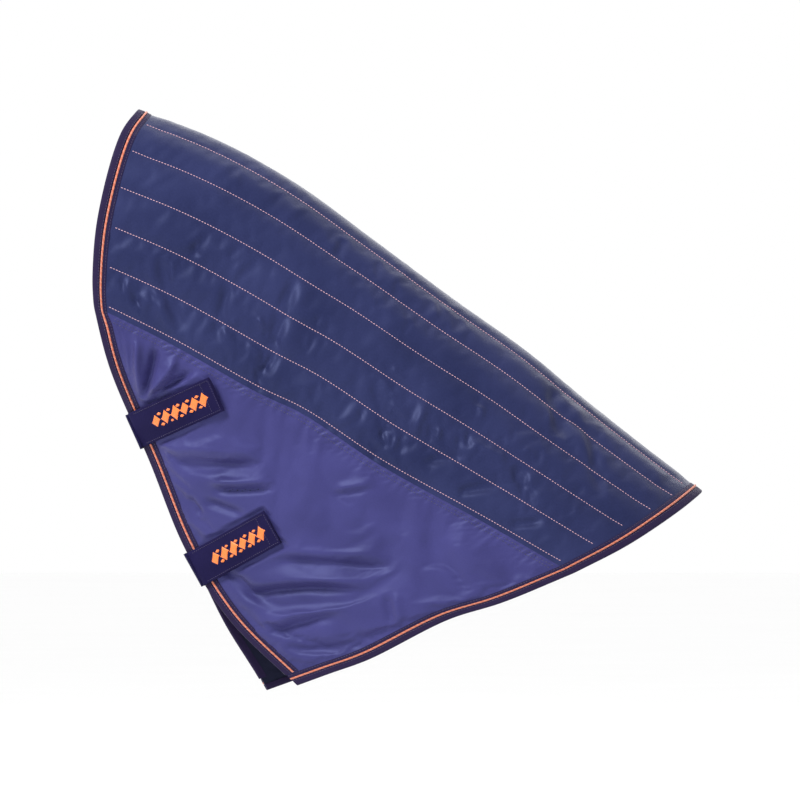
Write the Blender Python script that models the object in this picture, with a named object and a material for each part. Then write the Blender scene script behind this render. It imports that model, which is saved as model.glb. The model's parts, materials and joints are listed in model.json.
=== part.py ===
"""Quilted neck cover of a horse's turnout rug, in the shape it takes when it is worn.

The cover is a saddle-shaped piece of cloth over the crest of the neck. Its upper part is channel-quilted
(shell, wadding, lining) and its lower part is plain cloth that closes under the throat with two straps.
Both halves meet at the crest. The horse's head is towards -X, its withers towards +X, its left side is -Y.
The origin is on the inner side of the crest, at mid-length, where the neck carries the cover.
All sizes are in metres.
"""
import math

import bmesh
import bpy
import numpy as np
from mathutils import Matrix, Vector
from mathutils.bvhtree import BVHTree

# ---- driving sizes: the whole cover, without its bindings ----
COVER_LENGTH = 0.8205        # cheek edge to withers tip
COVER_HEIGHT = 0.773         # poll to the lower throat corner

# ---- outlines in the side view: smooth lines through points, in shares of the length and the height ----
CREST_LINE = [(-0.4948, 0.3208), (-0.3620, 0.2652), (-0.2352, 0.1902), (-0.1097, 0.0931),
              (0.0165, -0.0065), (0.1414, -0.1009), (0.2340, -0.1824), (0.3291, -0.2626),
              (0.4290, -0.3435)]
CHEEK_LINE = [(-0.4948, 0.3208), (-0.5204, 0.2807), (-0.5588, 0.1307), (-0.5673, 0.0246),
              (-0.5655, -0.0220)]
SEAM_LINE = [(-0.5655, -0.0220), (-0.4449, -0.0854), (-0.2986, -0.1721), (-0.2243, -0.2096),
             (-0.0987, -0.2975), (0.0695, -0.3959), (0.2139, -0.4838)]
WITHERS_LINE = [(0.4290, -0.3435), (0.3876, -0.3765), (0.3035, -0.4347), (0.2139, -0.4838)]
THROAT_LINE = [(-0.5655, -0.0220), (-0.5387, -0.1320), (-0.4753, -0.2911), (-0.4168, -0.4437),
               (-0.3461, -0.5640), (-0.2352, -0.6792)]
HEM_LINE = [(0.2139, -0.4838), (0.0987, -0.5343), (0.0110, -0.5640), (-0.1194, -0.6339),
            (-0.1828, -0.6585), (-0.2352, -0.6792)]

# ---- driving sizes: the cross-section ----
QUILT_DEPTH = 0.287          # crest seam to lower seam, measured over the cloth
POLL_TURN = 0.186            # length of cloth in which the side turns upright, at the poll
WITHERS_TURN = 0.372         # the same at the withers
TURN_POWER = 1.3             # how the turn grows from poll to withers
THROAT_HALF_WIDTHS = [(0.05, 0.0865), (0.15, 0.066), (0.30, 0.034), (0.60, 0.036), (1.0, 0.085)]
THROAT_CURL = 1.8            # how late the lower cloth turns in under the throat
RIGHT_CORNER_SHIFT = (-0.042, -0.024, -0.0095)  # the right lower corner lies forward of the left one
RIGHT_SHIFT_START = 0.67     # share of the throat line where the right corner starts to lie forward

# ---- driving sizes: layers ----
GAP = 0.0003                 # clearance between touching pieces
EDGE_GAP = 0.0006            # clearance of the bindings, which follow the cloth's edge in long steps
SHELL_THICKNESS = 0.0008
LINING_THICKNESS = 0.0008
WADDING_THICKNESS = 0.006
WADDING_RISE = 0.030         # width over which the wadding grows to its full thickness
WADDING_EASE = 0.0014        # room that grows with the wadding, between it and the lining
TAPE_THICKNESS = 0.0008
TAPE_WIDTH = 0.020
TAPE_INSET = 0.026           # from the cover's edges to the ends of a tape

# ---- driving sizes: edges ----
BINDING_WIDTH = 0.0080
BINDING_THICKNESS = 0.0008
PIPING_WIDTH = 0.004
PIPING_HEIGHT = 0.0021
FLANGE_WIDTH = 0.0055
FLANGE_THICKNESS = 0.0008

# ---- driving sizes: throat straps ----
STRAP_WIDTH = 0.050
STRAP_THICKNESS = 0.0022
PAD_WIDTH = 0.044
PAD_THICKNESS = 0.0010
PAD_START = 0.040            # from the throat edge to the hook and loop pads
TAB_LENGTH = 0.118           # from the throat edge to the tab's free end, in the side view
TAB_HEM = 0.006              # from the end of the pads to the tab's free end
ROOT_LENGTH = 0.062
ROOT_DROP = (0.022, 0.034)   # where the root comes down from the binding to the cloth
FOLD_REACH = 0.0040          # how far the strap runs past its last seat on the cloth before it folds
FOLD_ROUND = 0.0035          # how round the strap turns from its fold into the bridge
HINGE_CLEARANCE = 0.0008     # room between a folded strap and its bridge
MOTIF_WIDTH = 0.020
MOTIF_THICKNESS = 0.0006
MOTIF_START = 0.028
UPPER_STRAP_SHARE = 0.300    # places along the throat line
LOWER_STRAP_SHARE = 0.648
CLOTH_EASE = 0.0005          # extra room where a straight piece lies on curved cloth

# ---- driving sizes: patches that hold the cover to the body rug ----
PATCH_LENGTH = 0.060
PATCH_WIDTH = 0.025
PATCH_THICKNESS = 0.0012
PATCH_MARGIN = 0.045         # from the hem edge to the middle of a patch
UPPER_PATCH_DEPTH = 0.60     # share of the quilted depth
LOWER_PATCH_DEPTH = 0.40     # share of the lower cloth's depth

# ---- grids ----
QUILT_INNER_COLUMNS = 14
QUILT_INNER_ROWS = 5
LOWER_INNER_COLUMNS = 13
LOWER_INNER_ROWS = 6
TAPE_COLUMNS = 20
LOWER_CORNER = 0.040         # length of seam that the lower cloth's first column follows
LOWER_FIRST = 0.055
LOWER_TOP = 0.0008           # share of the lower cloth's depth that is left free at the seam

# ---- values that follow from the sizes above ----
LEFT, RIGHT = -1, 1
STACK = SHELL_THICKNESS + GAP + LINING_THICKNESS
PIPING_START = BINDING_WIDTH + GAP
FLANGE_START = PIPING_START + PIPING_WIDTH
BAND_WIDTH = FLANGE_START + FLANGE_WIDTH
TAB_LIFT = CLOTH_EASE + 2 * PAD_THICKNESS + 4 * GAP
STRAP_HALF = STRAP_THICKNESS / 2
HINGE_RADIUS = STRAP_HALF + HINGE_CLEARANCE

MATERIALS = {
    "quilt_cloth": ((0.052, 0.058, 0.115), 0.62),
    "throat_cloth": ((0.078, 0.078, 0.230), 0.60),
    "lining_cloth": ((0.012, 0.013, 0.024), 0.75),
    "wadding_fibre": ((0.80, 0.80, 0.78), 0.95),
    "binding_tape": ((0.035, 0.028, 0.060), 0.65),
    "piping_cord": ((0.75, 0.28, 0.15), 0.55),
    "strap_cloth": ((0.030, 0.030, 0.075), 0.60),
    "hook_and_loop": ((0.015, 0.015, 0.030), 0.90),
    "embroidery_thread": ((0.80, 0.24, 0.06), 0.45),
}


# ---- smooth lines ----
def blend(p, q, start, end, t):
    """The point between p and q at t, where p is at start and q at end."""
    return ((end - t) * p + (t - start) * q) / (end - start)


def catmull_rom_point(controls, knots, t):
    """One point of a Catmull-Rom segment, by repeated blending."""
    pairs = [blend(controls[k], controls[k + 1], knots[k], knots[k + 1], t) for k in range(3)]
    first = blend(pairs[0], pairs[1], knots[0], knots[2], t)
    second = blend(pairs[1], pairs[2], knots[1], knots[3], t)
    return blend(first, second, knots[1], knots[2], t)


def catmull_rom(points, steps=24):
    """Dense points of a centripetal Catmull-Rom curve through the points."""
    ends = [2 * points[0] - points[1], *points, 2 * points[-1] - points[-2]]
    dense = [points[0]]
    for controls in zip(ends, ends[1:], ends[2:], ends[3:]):
        gaps = [math.sqrt(np.linalg.norm(q - p)) for p, q in zip(controls, controls[1:])]
        knots = np.cumsum([0.0] + gaps)
        for t in np.linspace(knots[1], knots[2], steps + 1)[1:]:
            dense.append(catmull_rom_point(controls, knots, t))
    return np.array(dense)


class Line:
    """A smooth plane line through a few points, read by its share of length."""

    def __init__(self, points, size=(1.0, 1.0)):
        self.points = catmull_rom(np.array(points, float) * size)
        steps = np.linalg.norm(np.diff(self.points, axis=0), axis=1)
        self.along = np.concatenate([[0.0], np.cumsum(steps)])
        self.length = float(self.along[-1])

    def at(self, share):
        place = share * self.length
        return np.array([np.interp(place, self.along, self.points[:, k]) for k in range(2)])


def smoothstep(value):
    t = min(max(value, 0.0), 1.0)
    return t * t * (3 - 2 * t)


COVER_SIZE = (COVER_LENGTH, COVER_HEIGHT)
crest, cheek, seam, withers, throat, hem = [
    Line(points, COVER_SIZE)
    for points in (CREST_LINE, CHEEK_LINE, SEAM_LINE, WITHERS_LINE, THROAT_LINE, HEM_LINE)]


# ---- the form of the cloth ----
# Down from the crest the side turns upright: its angle is 90 degrees * sin(90 degrees * s / turn length).
TURN_STEPS = np.linspace(0.0, 2.5, 1001)
TURN_ANGLES = math.pi / 2 * np.sin(math.pi / 2 * np.minimum(TURN_STEPS, 1.0))


def running_sum(values):
    """The integral of the values over the turn steps."""
    return np.concatenate([[0.0], np.cumsum((values[1:] + values[:-1]) / 2 * TURN_STEPS[1])])


TURN_DROP = running_sum(np.sin(TURN_ANGLES))
TURN_WIDTH = running_sum(np.cos(TURN_ANGLES))


def turn_length(u):
    return POLL_TURN + (WITHERS_TURN - POLL_TURN) * u ** TURN_POWER


def half_width(u, s):
    """Half the cover's width at u from poll to withers and s down from the crest over the cloth."""
    turn = turn_length(u)
    return turn * float(np.interp(s / turn, TURN_STEPS, TURN_WIDTH))


def drop_share(u, s):
    """The share of the height from crest to seam that lies above s."""
    turn = turn_length(u)
    drop, whole = np.interp([s / turn, QUILT_DEPTH / turn], TURN_STEPS, TURN_DROP)
    return float(drop / whole)


def quilt_point(u, s, side):
    """A point of the quilted face: u from poll to withers, s down from the crest over the cloth."""
    d = drop_share(u, s)
    corners = ((1 - u) * ((1 - d) * crest.at(0) + d * seam.at(0))
               + u * ((1 - d) * crest.at(1) + d * seam.at(1)))
    x, z = (1 - d) * crest.at(u) + d * seam.at(u) + (1 - u) * cheek.at(d) + u * withers.at(d) - corners
    return Vector((x, side * half_width(u, s), z))


throat_widths = Line([(0.0, half_width(0.0, QUILT_DEPTH)), *THROAT_HALF_WIDTHS])


def throat_half_width(u):
    return float(np.interp(u, throat_widths.points[:, 0], throat_widths.points[:, 1]))


def lower_point(u, w, side):
    """A point of the lower face: u from the cheek to the hem, w from the seam down to the throat edge."""
    x, z = ((1 - w) * seam.at(u) + w * throat.at(u)
            + u * (hem.at(w) - (1 - w) * hem.at(0) - w * hem.at(1)))
    curl = w ** THROAT_CURL
    width = (1 - curl) * half_width(u, QUILT_DEPTH) + curl * throat_half_width(u)
    point = Vector((x, side * width, z))
    if side == RIGHT:
        lead = max(0.0, (u - RIGHT_SHIFT_START) / (1 - RIGHT_SHIFT_START)) ** 1.4 * w ** 1.5
        point += Vector(RIGHT_CORNER_SHIFT) * lead
    return point


# ---- grids of points on the cloth ----
class Face:
    """A grid of points and outward normals on one face of the cloth."""

    def __init__(self, points, side):
        self.points = points
        array = np.array([[tuple(point) for point in row] for row in points])
        down, along = np.gradient(array, axis=0), np.gradient(array, axis=1)
        normals = np.cross(down, along) * -side
        normals /= np.linalg.norm(normals, axis=2, keepdims=True)
        self.normals = [[Vector(normal) for normal in row] for row in normals]
        self.rows, self.columns = len(points), len(points[0])

    def layer(self, depth, rows=slice(None), columns=slice(None)):
        """The face moved inwards by depth, a number or a grid of numbers."""
        return [[self.points[j][i] - self.normals[j][i] * (depth if np.isscalar(depth) else depth[j][i])
                 for i in range(self.columns)[columns]] for j in range(self.rows)[rows]]

    def tree(self):
        """A search tree of the face, for pieces that lie on it."""
        verts = [point for row in self.points for point in row]
        quads = [(j * self.columns + i, j * self.columns + i + 1,
                  (j + 1) * self.columns + i + 1, (j + 1) * self.columns + i)
                 for j in range(self.rows - 1) for i in range(self.columns - 1)]
        return BVHTree.FromPolygons(verts, quads)


def spaced(length, near, far, inner):
    """Places from 0 to length: margins at both ends and evenly spaced places between them."""
    start, stop = near[-1], length - far[-1]
    between = [start + (stop - start) * k / (inner + 1) for k in range(1, inner + 1)]
    return [0.0, *near, *between, *[length - margin for margin in reversed(far)], length]


RISE_MARGINS = [BAND_WIDTH, BAND_WIDTH + 0.4 * WADDING_RISE, BAND_WIDTH + WADDING_RISE]
CREST_MARGINS = [TAPE_WIDTH / 2, *RISE_MARGINS]
END_MARGINS = [BINDING_WIDTH, *RISE_MARGINS]


def quilt_places():
    """The rows of the quilted face, and the places along each row with the row's length."""
    rows = spaced(QUILT_DEPTH, CREST_MARGINS, RISE_MARGINS, QUILT_INNER_ROWS)
    lengths = [crest.length + (seam.length - crest.length) * s / QUILT_DEPTH for s in rows]
    return rows, lengths, [spaced(length, END_MARGINS, END_MARGINS, QUILT_INNER_COLUMNS) for length in lengths]


def quilt_face(side):
    rows, lengths, places = quilt_places()
    rows[0], rows[-1] = GAP, QUILT_DEPTH - 2 * GAP
    face = Face([[quilt_point(place / length, s, side) for place in row]
                 for s, length, row in zip(rows, lengths, places)], side)
    for normal in face.normals[0]:
        normal.y = 0.0
        normal.normalize()
    return face


def wadding_growth():
    """How far the wadding has grown at each point of the quilted face, from 0 at the edges to 1."""
    return np.array([[smoothstep((min(s, QUILT_DEPTH - s, place, length - place) - BAND_WIDTH) / WADDING_RISE)
                      for place in row] for s, length, row in zip(*quilt_places())])


def lower_face(side, quilt):
    """The lower face. Its first column follows the seam from the cheek, so that no row ends in a point."""
    hem_margins = [0.0, BINDING_WIDTH, BAND_WIDTH, BAND_WIDTH + 2 * GAP]
    corner = [*np.linspace(LOWER_CORNER, BAND_WIDTH, LOWER_INNER_ROWS + 1), BINDING_WIDTH, 0.0]
    points = []
    for row, along in enumerate(corner):
        share = row / (len(corner) - 1)
        length = seam.length + (throat.length - seam.length) * share
        ends = [1 - margin / length for margin in reversed(hem_margins)]
        columns = [*np.linspace(LOWER_FIRST, ends[0], LOWER_INNER_COLUMNS + 1)[:-1], *ends]
        points.append([quilt_point(along / seam.length, QUILT_DEPTH + GAP, side),
                       *[lower_point(u, lower_row(u, row, side), side) for u in columns]])
    face = Face(points, side)
    for row in face.normals:
        row[0] = quilt.normals[-1][0].copy()
    return face


def lower_row(u, row, side):
    """The place of a row at u: even rows, then one at the piping's flange, the binding and the edge."""
    length = (lower_point(u, 1, side) - lower_point(u, 0, side)).length
    band = min(BAND_WIDTH / length, 0.8)
    if row <= LOWER_INNER_ROWS:
        return LOWER_TOP + (1 - band - LOWER_TOP) * row / LOWER_INNER_ROWS
    return 1 - band * (BINDING_WIDTH / BAND_WIDTH if row == LOWER_INNER_ROWS + 1 else 0.0)


# ---- meshes ----
def material(name):
    found = bpy.data.materials.get(name)
    if found:
        return found
    colour, roughness = MATERIALS[name]
    made = bpy.data.materials.new(name)
    made.use_nodes = True
    shader = made.node_tree.nodes["Principled BSDF"]
    shader.inputs["Base Color"].default_value = (*colour, 1.0)
    shader.inputs["Roughness"].default_value = roughness
    shader.inputs["Metallic"].default_value = 0.0
    return made


def finish(name, bm, slot):
    """Turn a closed bmesh into a named object with its material."""
    bmesh.ops.recalc_face_normals(bm, faces=bm.faces)
    if bm.calc_volume(signed=True) < 0:
        bmesh.ops.reverse_faces(bm, faces=bm.faces)
    mesh = bpy.data.meshes.new(name)
    bm.to_mesh(mesh)
    bm.free()
    mesh.materials.append(material(slot))
    mesh.shade_smooth()
    mesh.set_sharp_from_angle(angle=math.radians(40))
    made = bpy.data.objects.new(name, mesh)
    bpy.context.scene.collection.objects.link(made)
    return made


def cloth_solid(name, outer, inner, slot, mirrored=False):
    """A closed piece of cloth between an outer and an inner grid of points.

    All its quads are split along the same diagonal, and a mirrored piece's later rows along the other
    one, so that pieces which lie on each other bend alike.
    """
    rows, columns = len(outer), len(outer[0])
    bm = bmesh.new()
    bmesh.ops.create_grid(bm, x_segments=columns - 1, y_segments=rows - 1, size=1.0)
    halves = {"FIXED": [], "ALTERNATE": []}
    for face in bm.faces:
        later = mirrored and face.calc_center_median().y > 0
        halves["ALTERNATE" if later else "FIXED"].append(face)
    for method, faces in halves.items():
        bmesh.ops.triangulate(bm, faces=faces, quad_method=method)
    first = list(bm.verts)
    made = bmesh.ops.extrude_face_region(bm, geom=list(bm.faces))
    second = [item for item in made["geom"] if isinstance(item, bmesh.types.BMVert)]
    for verts, grid in ((first, inner), (second, outer)):
        for vert in verts:
            column = round((vert.co.x + 1) / 2 * (columns - 1))
            row = round((vert.co.y + 1) / 2 * (rows - 1))
            vert.co = grid[row][column]
    return finish(name, bm, slot)


# ---- bindings and piping: sections carried along the edges of the cloth ----
class Station:
    """A place on an edge: the cloth's points and normals at the edge, the binding and the band's inside."""

    def __init__(self, face, steps):
        self.points = [face.points[j][i] for j, i in steps]
        self.normals = [face.normals[j][i] for j, i in steps]

    def place(self, across, height):
        """The point at a distance inwards from the edge and a height above the cloth."""
        if across <= BINDING_WIDTH:
            k, share = 0, across / BINDING_WIDTH
        else:
            k, share = 1, (across - BINDING_WIDTH) / (BAND_WIDTH - BINDING_WIDTH)
        base = self.points[k].lerp(self.points[k + 1], share) if share >= 0 else (
            self.points[0] + (self.points[0] - self.points[1]).normalized() * -across)
        normal = self.normals[k].lerp(self.normals[k + 1], max(share, 0.0)).normalized()
        return base + normal * height


def front_stations(quilt, lower):
    """The stations of the front edge on one side, from the crest down to the hem's band."""
    down = [Station(quilt, [(j, 0), (j, 1), (j, 2)]) for j in range(quilt.rows)]
    edge = lower.rows - 1
    back = [Station(lower, [(edge, i), (edge - 1, i), (edge - 2, i)]) for i in range(1, lower.columns - 3)]
    return down + back


def hem_stations(quilt, lower):
    """The stations of the hem on one side, from the crest down to the throat edge."""
    last = quilt.columns - 1
    down = [Station(quilt, [(j, last), (j, last - 1), (j, last - 2)]) for j in range(quilt.rows)]
    edge = lower.columns - 1
    return down + [Station(lower, [(j, edge), (j, edge - 1), (j, edge - 2)]) for j in range(1, lower.rows)]


def both_sides(make_stations, faces):
    """Stations from the low end on the left, over the crest, to the low end on the right."""
    left = make_stations(*faces[LEFT])
    right = make_stations(*faces[RIGHT])
    return left[::-1] + right[1:]


BINDING_TOP, BINDING_FOOT = EDGE_GAP + BINDING_THICKNESS, -STACK - EDGE_GAP
BINDING_OUTSIDE = [(BINDING_WIDTH, BINDING_TOP), (-BINDING_TOP, BINDING_TOP),
                   (-BINDING_TOP, BINDING_FOOT - BINDING_THICKNESS),
                   (BINDING_WIDTH, BINDING_FOOT - BINDING_THICKNESS)]
BINDING_INSIDE = [(BINDING_WIDTH, EDGE_GAP), (-EDGE_GAP, EDGE_GAP), (-EDGE_GAP, BINDING_FOOT),
                  (BINDING_WIDTH, BINDING_FOOT)]
PIPING_SHOULDER = 0.25 * PIPING_WIDTH
PIPING_TOP = [(PIPING_START, EDGE_GAP + 0.6 * PIPING_HEIGHT),
              (PIPING_START + PIPING_SHOULDER, EDGE_GAP + PIPING_HEIGHT),
              (FLANGE_START - PIPING_SHOULDER, EDGE_GAP + PIPING_HEIGHT),
              (FLANGE_START, EDGE_GAP + FLANGE_THICKNESS),
              (BAND_WIDTH, EDGE_GAP + FLANGE_THICKNESS)]
PIPING_FLAT = [(across, EDGE_GAP) for across, height in PIPING_TOP]


def edge_piece(name, stations, outside, inside, slot):
    grids = [[[station.place(*spot) for spot in section] for station in stations]
             for section in (outside, inside)]
    return cloth_solid(name, *grids, slot, mirrored=True)


# ---- tapes inside the seams ----
def tape(name, rows, side):
    """A tape under a seam, laid beneath rows of points of the cloth's outer face."""
    depth = STACK + GAP + CLOTH_EASE
    face = Face(rows, side)
    cloth_solid(name, face.layer(depth), face.layer(depth + TAPE_THICKNESS), "binding_tape")


def crest_tape():
    shares = np.linspace(TAPE_INSET / crest.length, 1 - TAPE_INSET / crest.length, TAPE_COLUMNS)
    half = TAPE_WIDTH / 2
    tape("crest_tape", [[quilt_point(u, s, side) for u in shares]
                        for s, side in ((half, LEFT), (0.0, LEFT), (half, RIGHT))], RIGHT)


def seam_tape(word, side):
    start = (LOWER_CORNER + TAPE_WIDTH / 2) / seam.length
    shares = np.linspace(start, 1 - TAPE_INSET / seam.length, TAPE_COLUMNS)
    half = TAPE_WIDTH / 2
    below = []
    for u in shares:
        depth = (lower_point(u, 1, side) - lower_point(u, 0, side)).length
        below.append(lower_point(u, min(half / depth, 0.5), side))
    tape(f"seam_tape_{word}", [[quilt_point(u, QUILT_DEPTH - half, side) for u in shares],
                               [quilt_point(u, QUILT_DEPTH, side) for u in shares], below], side)


# ---- throat straps ----
class Lay:
    """The ground that a throat strap lies on: a smooth surface that just clears the cloth of one side."""

    def __init__(self, share, side, trees, reaches, offsets):
        before, after = throat.at(share - 0.02), throat.at(share + 0.02)
        self.edge, self.run = throat.at(share), (after - before) / np.linalg.norm(after - before)
        self.inward = np.array([-self.run[1], self.run[0]])
        self.side = side
        self.across = Vector((self.run[0], 0.0, self.run[1]))
        self.fit(trees, reaches, offsets)
        self.points = [[self.point(p, q) for q in offsets] for p in reaches]
        self.normals = [[self.normal(p, q) for q in offsets] for p in reaches]

    @staticmethod
    def terms(p, q):
        return np.array([p ** i * q ** j for i in range(4) for j in range(3)])

    def fit(self, trees, reaches, offsets):
        """Fit a smooth height to the cloth under the strap and raise it until it clears the cloth."""
        samples, heights = [], []
        for p in np.linspace(reaches[0], reaches[-1], 16):
            for q in np.linspace(offsets[0], offsets[-1], 7):
                x, z = self.edge + self.inward * p + self.run * q
                hits = [tree.ray_cast(Vector((x, self.side, z)), Vector((0, -self.side, 0)))[0]
                        for tree in trees]
                found = [hit.y * self.side for hit in hits if hit is not None]
                if found:
                    heights.append(max(found))
                    samples.append(self.terms(p, q))
        samples, heights = np.array(samples), np.array(heights)
        self.weights = np.linalg.lstsq(samples, heights, rcond=None)[0]
        self.rise = float(np.max(heights - samples @ self.weights))

    def point(self, p, q):
        """The ground's point at p inwards from the throat edge and q along it."""
        x, z = self.edge + self.inward * p + self.run * q
        return Vector((x, self.side * (float(self.terms(p, q) @ self.weights) + self.rise), z))

    def normal(self, p, q, step=0.001):
        along = self.point(p + step, q) - self.point(p - step, q)
        across = self.point(p, q + step) - self.point(p, q - step)
        normal = along.cross(across).normalized()
        return normal if normal.y * self.side > 0 else -normal

    def lifted(self, heights, rows=slice(None), columns=slice(None)):
        """The ground's points raised by a height for each row."""
        rows = range(len(self.points))[rows]
        return [[point + normal * heights[j] for point, normal
                 in list(zip(self.points[j], self.normals[j]))[columns]] for j in rows]


def fold_axis(ground, lift):
    """The middle of the fold past the throat edge, and the strap's direction there."""
    middle = [ground.points[j][0].lerp(ground.points[j][-1], 0.5)
              + ground.normals[j][0].lerp(ground.normals[j][-1], 0.5).normalized() * lift for j in (0, 1)]
    towards = (middle[0] - middle[1])
    towards -= ground.across * towards.dot(ground.across)
    towards.normalize()
    return middle[0] + towards * FOLD_REACH, towards


def strap_grids(ground, heights, offsets, axis, towards):
    """Outer and inner grids of a strap that lies on the ground and ends in a round at its fold."""
    outer = ground.lifted([height + STRAP_HALF for height in heights])[::-1]
    inner = ground.lifted([height - STRAP_HALF for height in heights])[::-1]
    thickness = towards.cross(ground.across).normalized()
    thickness *= 1 if thickness.y * ground.side > 0 else -1
    for share in (0.0, 0.5, 0.85, 0.98):
        half = STRAP_HALF * math.sqrt(1 - share ** 2)
        spots = [axis + towards * STRAP_HALF * share + ground.across * q for q in offsets]
        outer.append([spot + thickness * half for spot in spots])
        inner.append([spot - thickness * half for spot in spots])
    return outer, inner


def bow(controls, t):
    """A point of the bridge's bow at t, and its direction."""
    weights = [(1 - t) ** 3, 3 * t * (1 - t) ** 2, 3 * t * t * (1 - t), t ** 3]
    slopes = [-(1 - t) ** 2, (1 - t) * (1 - 3 * t), t * (2 - 3 * t), t * t]
    spot = sum((control * weight for control, weight in zip(controls, weights)), Vector())
    slope = sum((control * weight for control, weight in zip(controls, slopes)), Vector())
    return spot, slope.normalized()


def bridge_grids(across, ends, directions, offsets, steps=8):
    """Grids of the strap's bridge over the throat, a bow from fold to fold clear of both."""
    controls = [ends[0], ends[0] + directions[0] * FOLD_ROUND, ends[1] + directions[1] * FOLD_ROUND, ends[1]]
    clear = next(t for t in np.linspace(0.0, 0.4, 401) if (bow(controls, t)[0] - ends[0]).length > HINGE_RADIUS)
    outer, inner = [], []
    for t in np.linspace(clear, 1 - clear, steps + 1):
        spot, slope = bow(controls, t)
        out = slope.cross(across) * STRAP_HALF
        outer.append([spot + out + across * q for q in offsets])
        inner.append([spot - out + across * q for q in offsets])
    return outer, inner


def hang_on(axis, pieces):
    """Move the origins of pieces onto the axis that they turn about."""
    for piece in pieces:
        piece.data.transform(Matrix.Translation(-axis))
        piece.location = axis


def throat_strap(name, share, trees):
    """Root, bridge, tab, pads and motif of one strap.

    The bridge turns about the root's fold, and the tab with its pad and motif about the tab's fold.
    """
    half, pad, motif = STRAP_WIDTH / 2, PAD_WIDTH / 2, MOTIF_WIDTH / 2
    offsets = [-half, -pad, -motif, motif, pad, half]
    pad_end = TAB_LENGTH - TAB_HEM
    reaches = [0.002, 0.016, MOTIF_START, PAD_START, *np.linspace(PAD_START, pad_end, 6)[1:], TAB_LENGTH]
    ground = Lay(share, LEFT, trees[LEFT], reaches, offsets)
    first_pad, last_pad, first_motif = reaches.index(PAD_START), len(reaches) - 1, reaches.index(MOTIF_START)

    def pad_piece(piece, low, thickness, rows, columns, slot):
        grids = [ground.lifted([height] * len(reaches), rows, columns) for height in (low + thickness, low)]
        return cloth_solid(f"{name}_{piece}", *grids, slot)

    pad_rows, pad_columns = slice(first_pad, last_pad), slice(1, 5)
    loop_low = GAP + CLOTH_EASE
    hook_low = loop_low + PAD_THICKNESS + GAP
    pad_piece("loop_pad", loop_low, PAD_THICKNESS, pad_rows, pad_columns, "hook_and_loop")
    hook = pad_piece("hook_pad", hook_low, PAD_THICKNESS, pad_rows, pad_columns, "hook_and_loop")
    sewn = pad_piece("motif", TAB_LIFT + STRAP_THICKNESS + GAP, MOTIF_THICKNESS,
                     slice(first_motif, last_pad), slice(2, 4), "embroidery_thread")

    tab_axis, tab_towards = fold_axis(ground, TAB_LIFT + STRAP_HALF)
    heights = [TAB_LIFT + STRAP_HALF] * len(reaches)
    tab_grids = strap_grids(ground, heights, offsets, tab_axis, tab_towards)
    tab = cloth_solid(f"{name}_tab", *tab_grids, "strap_cloth")
    hang_on(tab_axis, [tab, hook, sewn])

    root_offsets = [-half, 0.0, half]
    root_reaches = [0.002, 0.013, ROOT_DROP[0], sum(ROOT_DROP) / 2, ROOT_DROP[1], 0.048, ROOT_LENGTH]
    root_ground = Lay(share, RIGHT, trees[RIGHT], root_reaches, root_offsets)
    seat = GAP + CLOTH_EASE + STRAP_HALF
    fall = ROOT_DROP[1] - ROOT_DROP[0]
    root_heights = [seat + (TAB_LIFT + STRAP_HALF - seat) * smoothstep((ROOT_DROP[1] - reach) / fall)
                    for reach in root_reaches]
    root_axis, root_towards = fold_axis(root_ground, TAB_LIFT + STRAP_HALF)
    cloth_solid(f"{name}_root", *strap_grids(root_ground, root_heights, root_offsets, root_axis, root_towards),
                "strap_cloth")
    bridge = cloth_solid(f"{name}_bridge", *bridge_grids(ground.across, (tab_axis, root_axis),
                         (tab_towards, root_towards), root_offsets), "strap_cloth")
    hang_on(root_axis, [bridge])


# ---- patches that hold the cover to the body rug ----
def rug_patch(name, point_at, lining, side):
    """A flat patch inside the hem, as near to the lining as its flat face can lie.

    point_at gives a point of the cloth's outer face from distances along the hem and inwards from it.
    """
    middle = point_at(0.0, 0.0)
    along = (point_at(PATCH_LENGTH / 2, 0.0) - point_at(-PATCH_LENGTH / 2, 0.0)).normalized()
    inward = point_at(0.0, PATCH_WIDTH / 2) - point_at(0.0, -PATCH_WIDTH / 2)
    normal = along.cross(inward).normalized()
    normal *= 1 if normal.y * side > 0 else -1
    inward = normal.cross(along)
    reach = min((spot - middle).dot(normal)
                for spot in lining_spots(middle, along, inward, normal, lining)) - GAP - CLOTH_EASE
    bm = bmesh.new()
    bmesh.ops.create_cube(bm, size=1.0)
    for vert in bm.verts:
        a, b, c = vert.co
        vert.co = (middle + along * a * PATCH_LENGTH + inward * b * PATCH_WIDTH
                   + normal * (reach + (c - 0.5) * PATCH_THICKNESS))
    finish(name, bm, "hook_and_loop")


def lining_spots(middle, along, inward, normal, lining):
    """Points of the lining over the whole of a patch."""
    depth = 5 * WADDING_THICKNESS
    starts = [middle + along * a * PATCH_LENGTH + inward * b * PATCH_WIDTH - normal * depth
              for a in np.linspace(-0.5, 0.5, 9) for b in np.linspace(-0.5, 0.5, 5)]
    return [lining.ray_cast(spot, normal)[0] for spot in starts]


def quilt_patch_point(side):
    """Places on the quilted face near the hem, around the middle of the upper patch."""
    s = UPPER_PATCH_DEPTH * QUILT_DEPTH
    length = crest.length + (seam.length - crest.length) * UPPER_PATCH_DEPTH
    return lambda along, inward: quilt_point(1 - (PATCH_MARGIN + inward) / length, s + along, side)


def lower_patch_point(side):
    """Places on the lower face near the hem, around the middle of the lower patch."""
    length = seam.length + (throat.length - seam.length) * LOWER_PATCH_DEPTH
    return lambda along, inward: lower_point(
        1 - (PATCH_MARGIN + inward) / length, LOWER_PATCH_DEPTH + along / hem.length, side)


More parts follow.
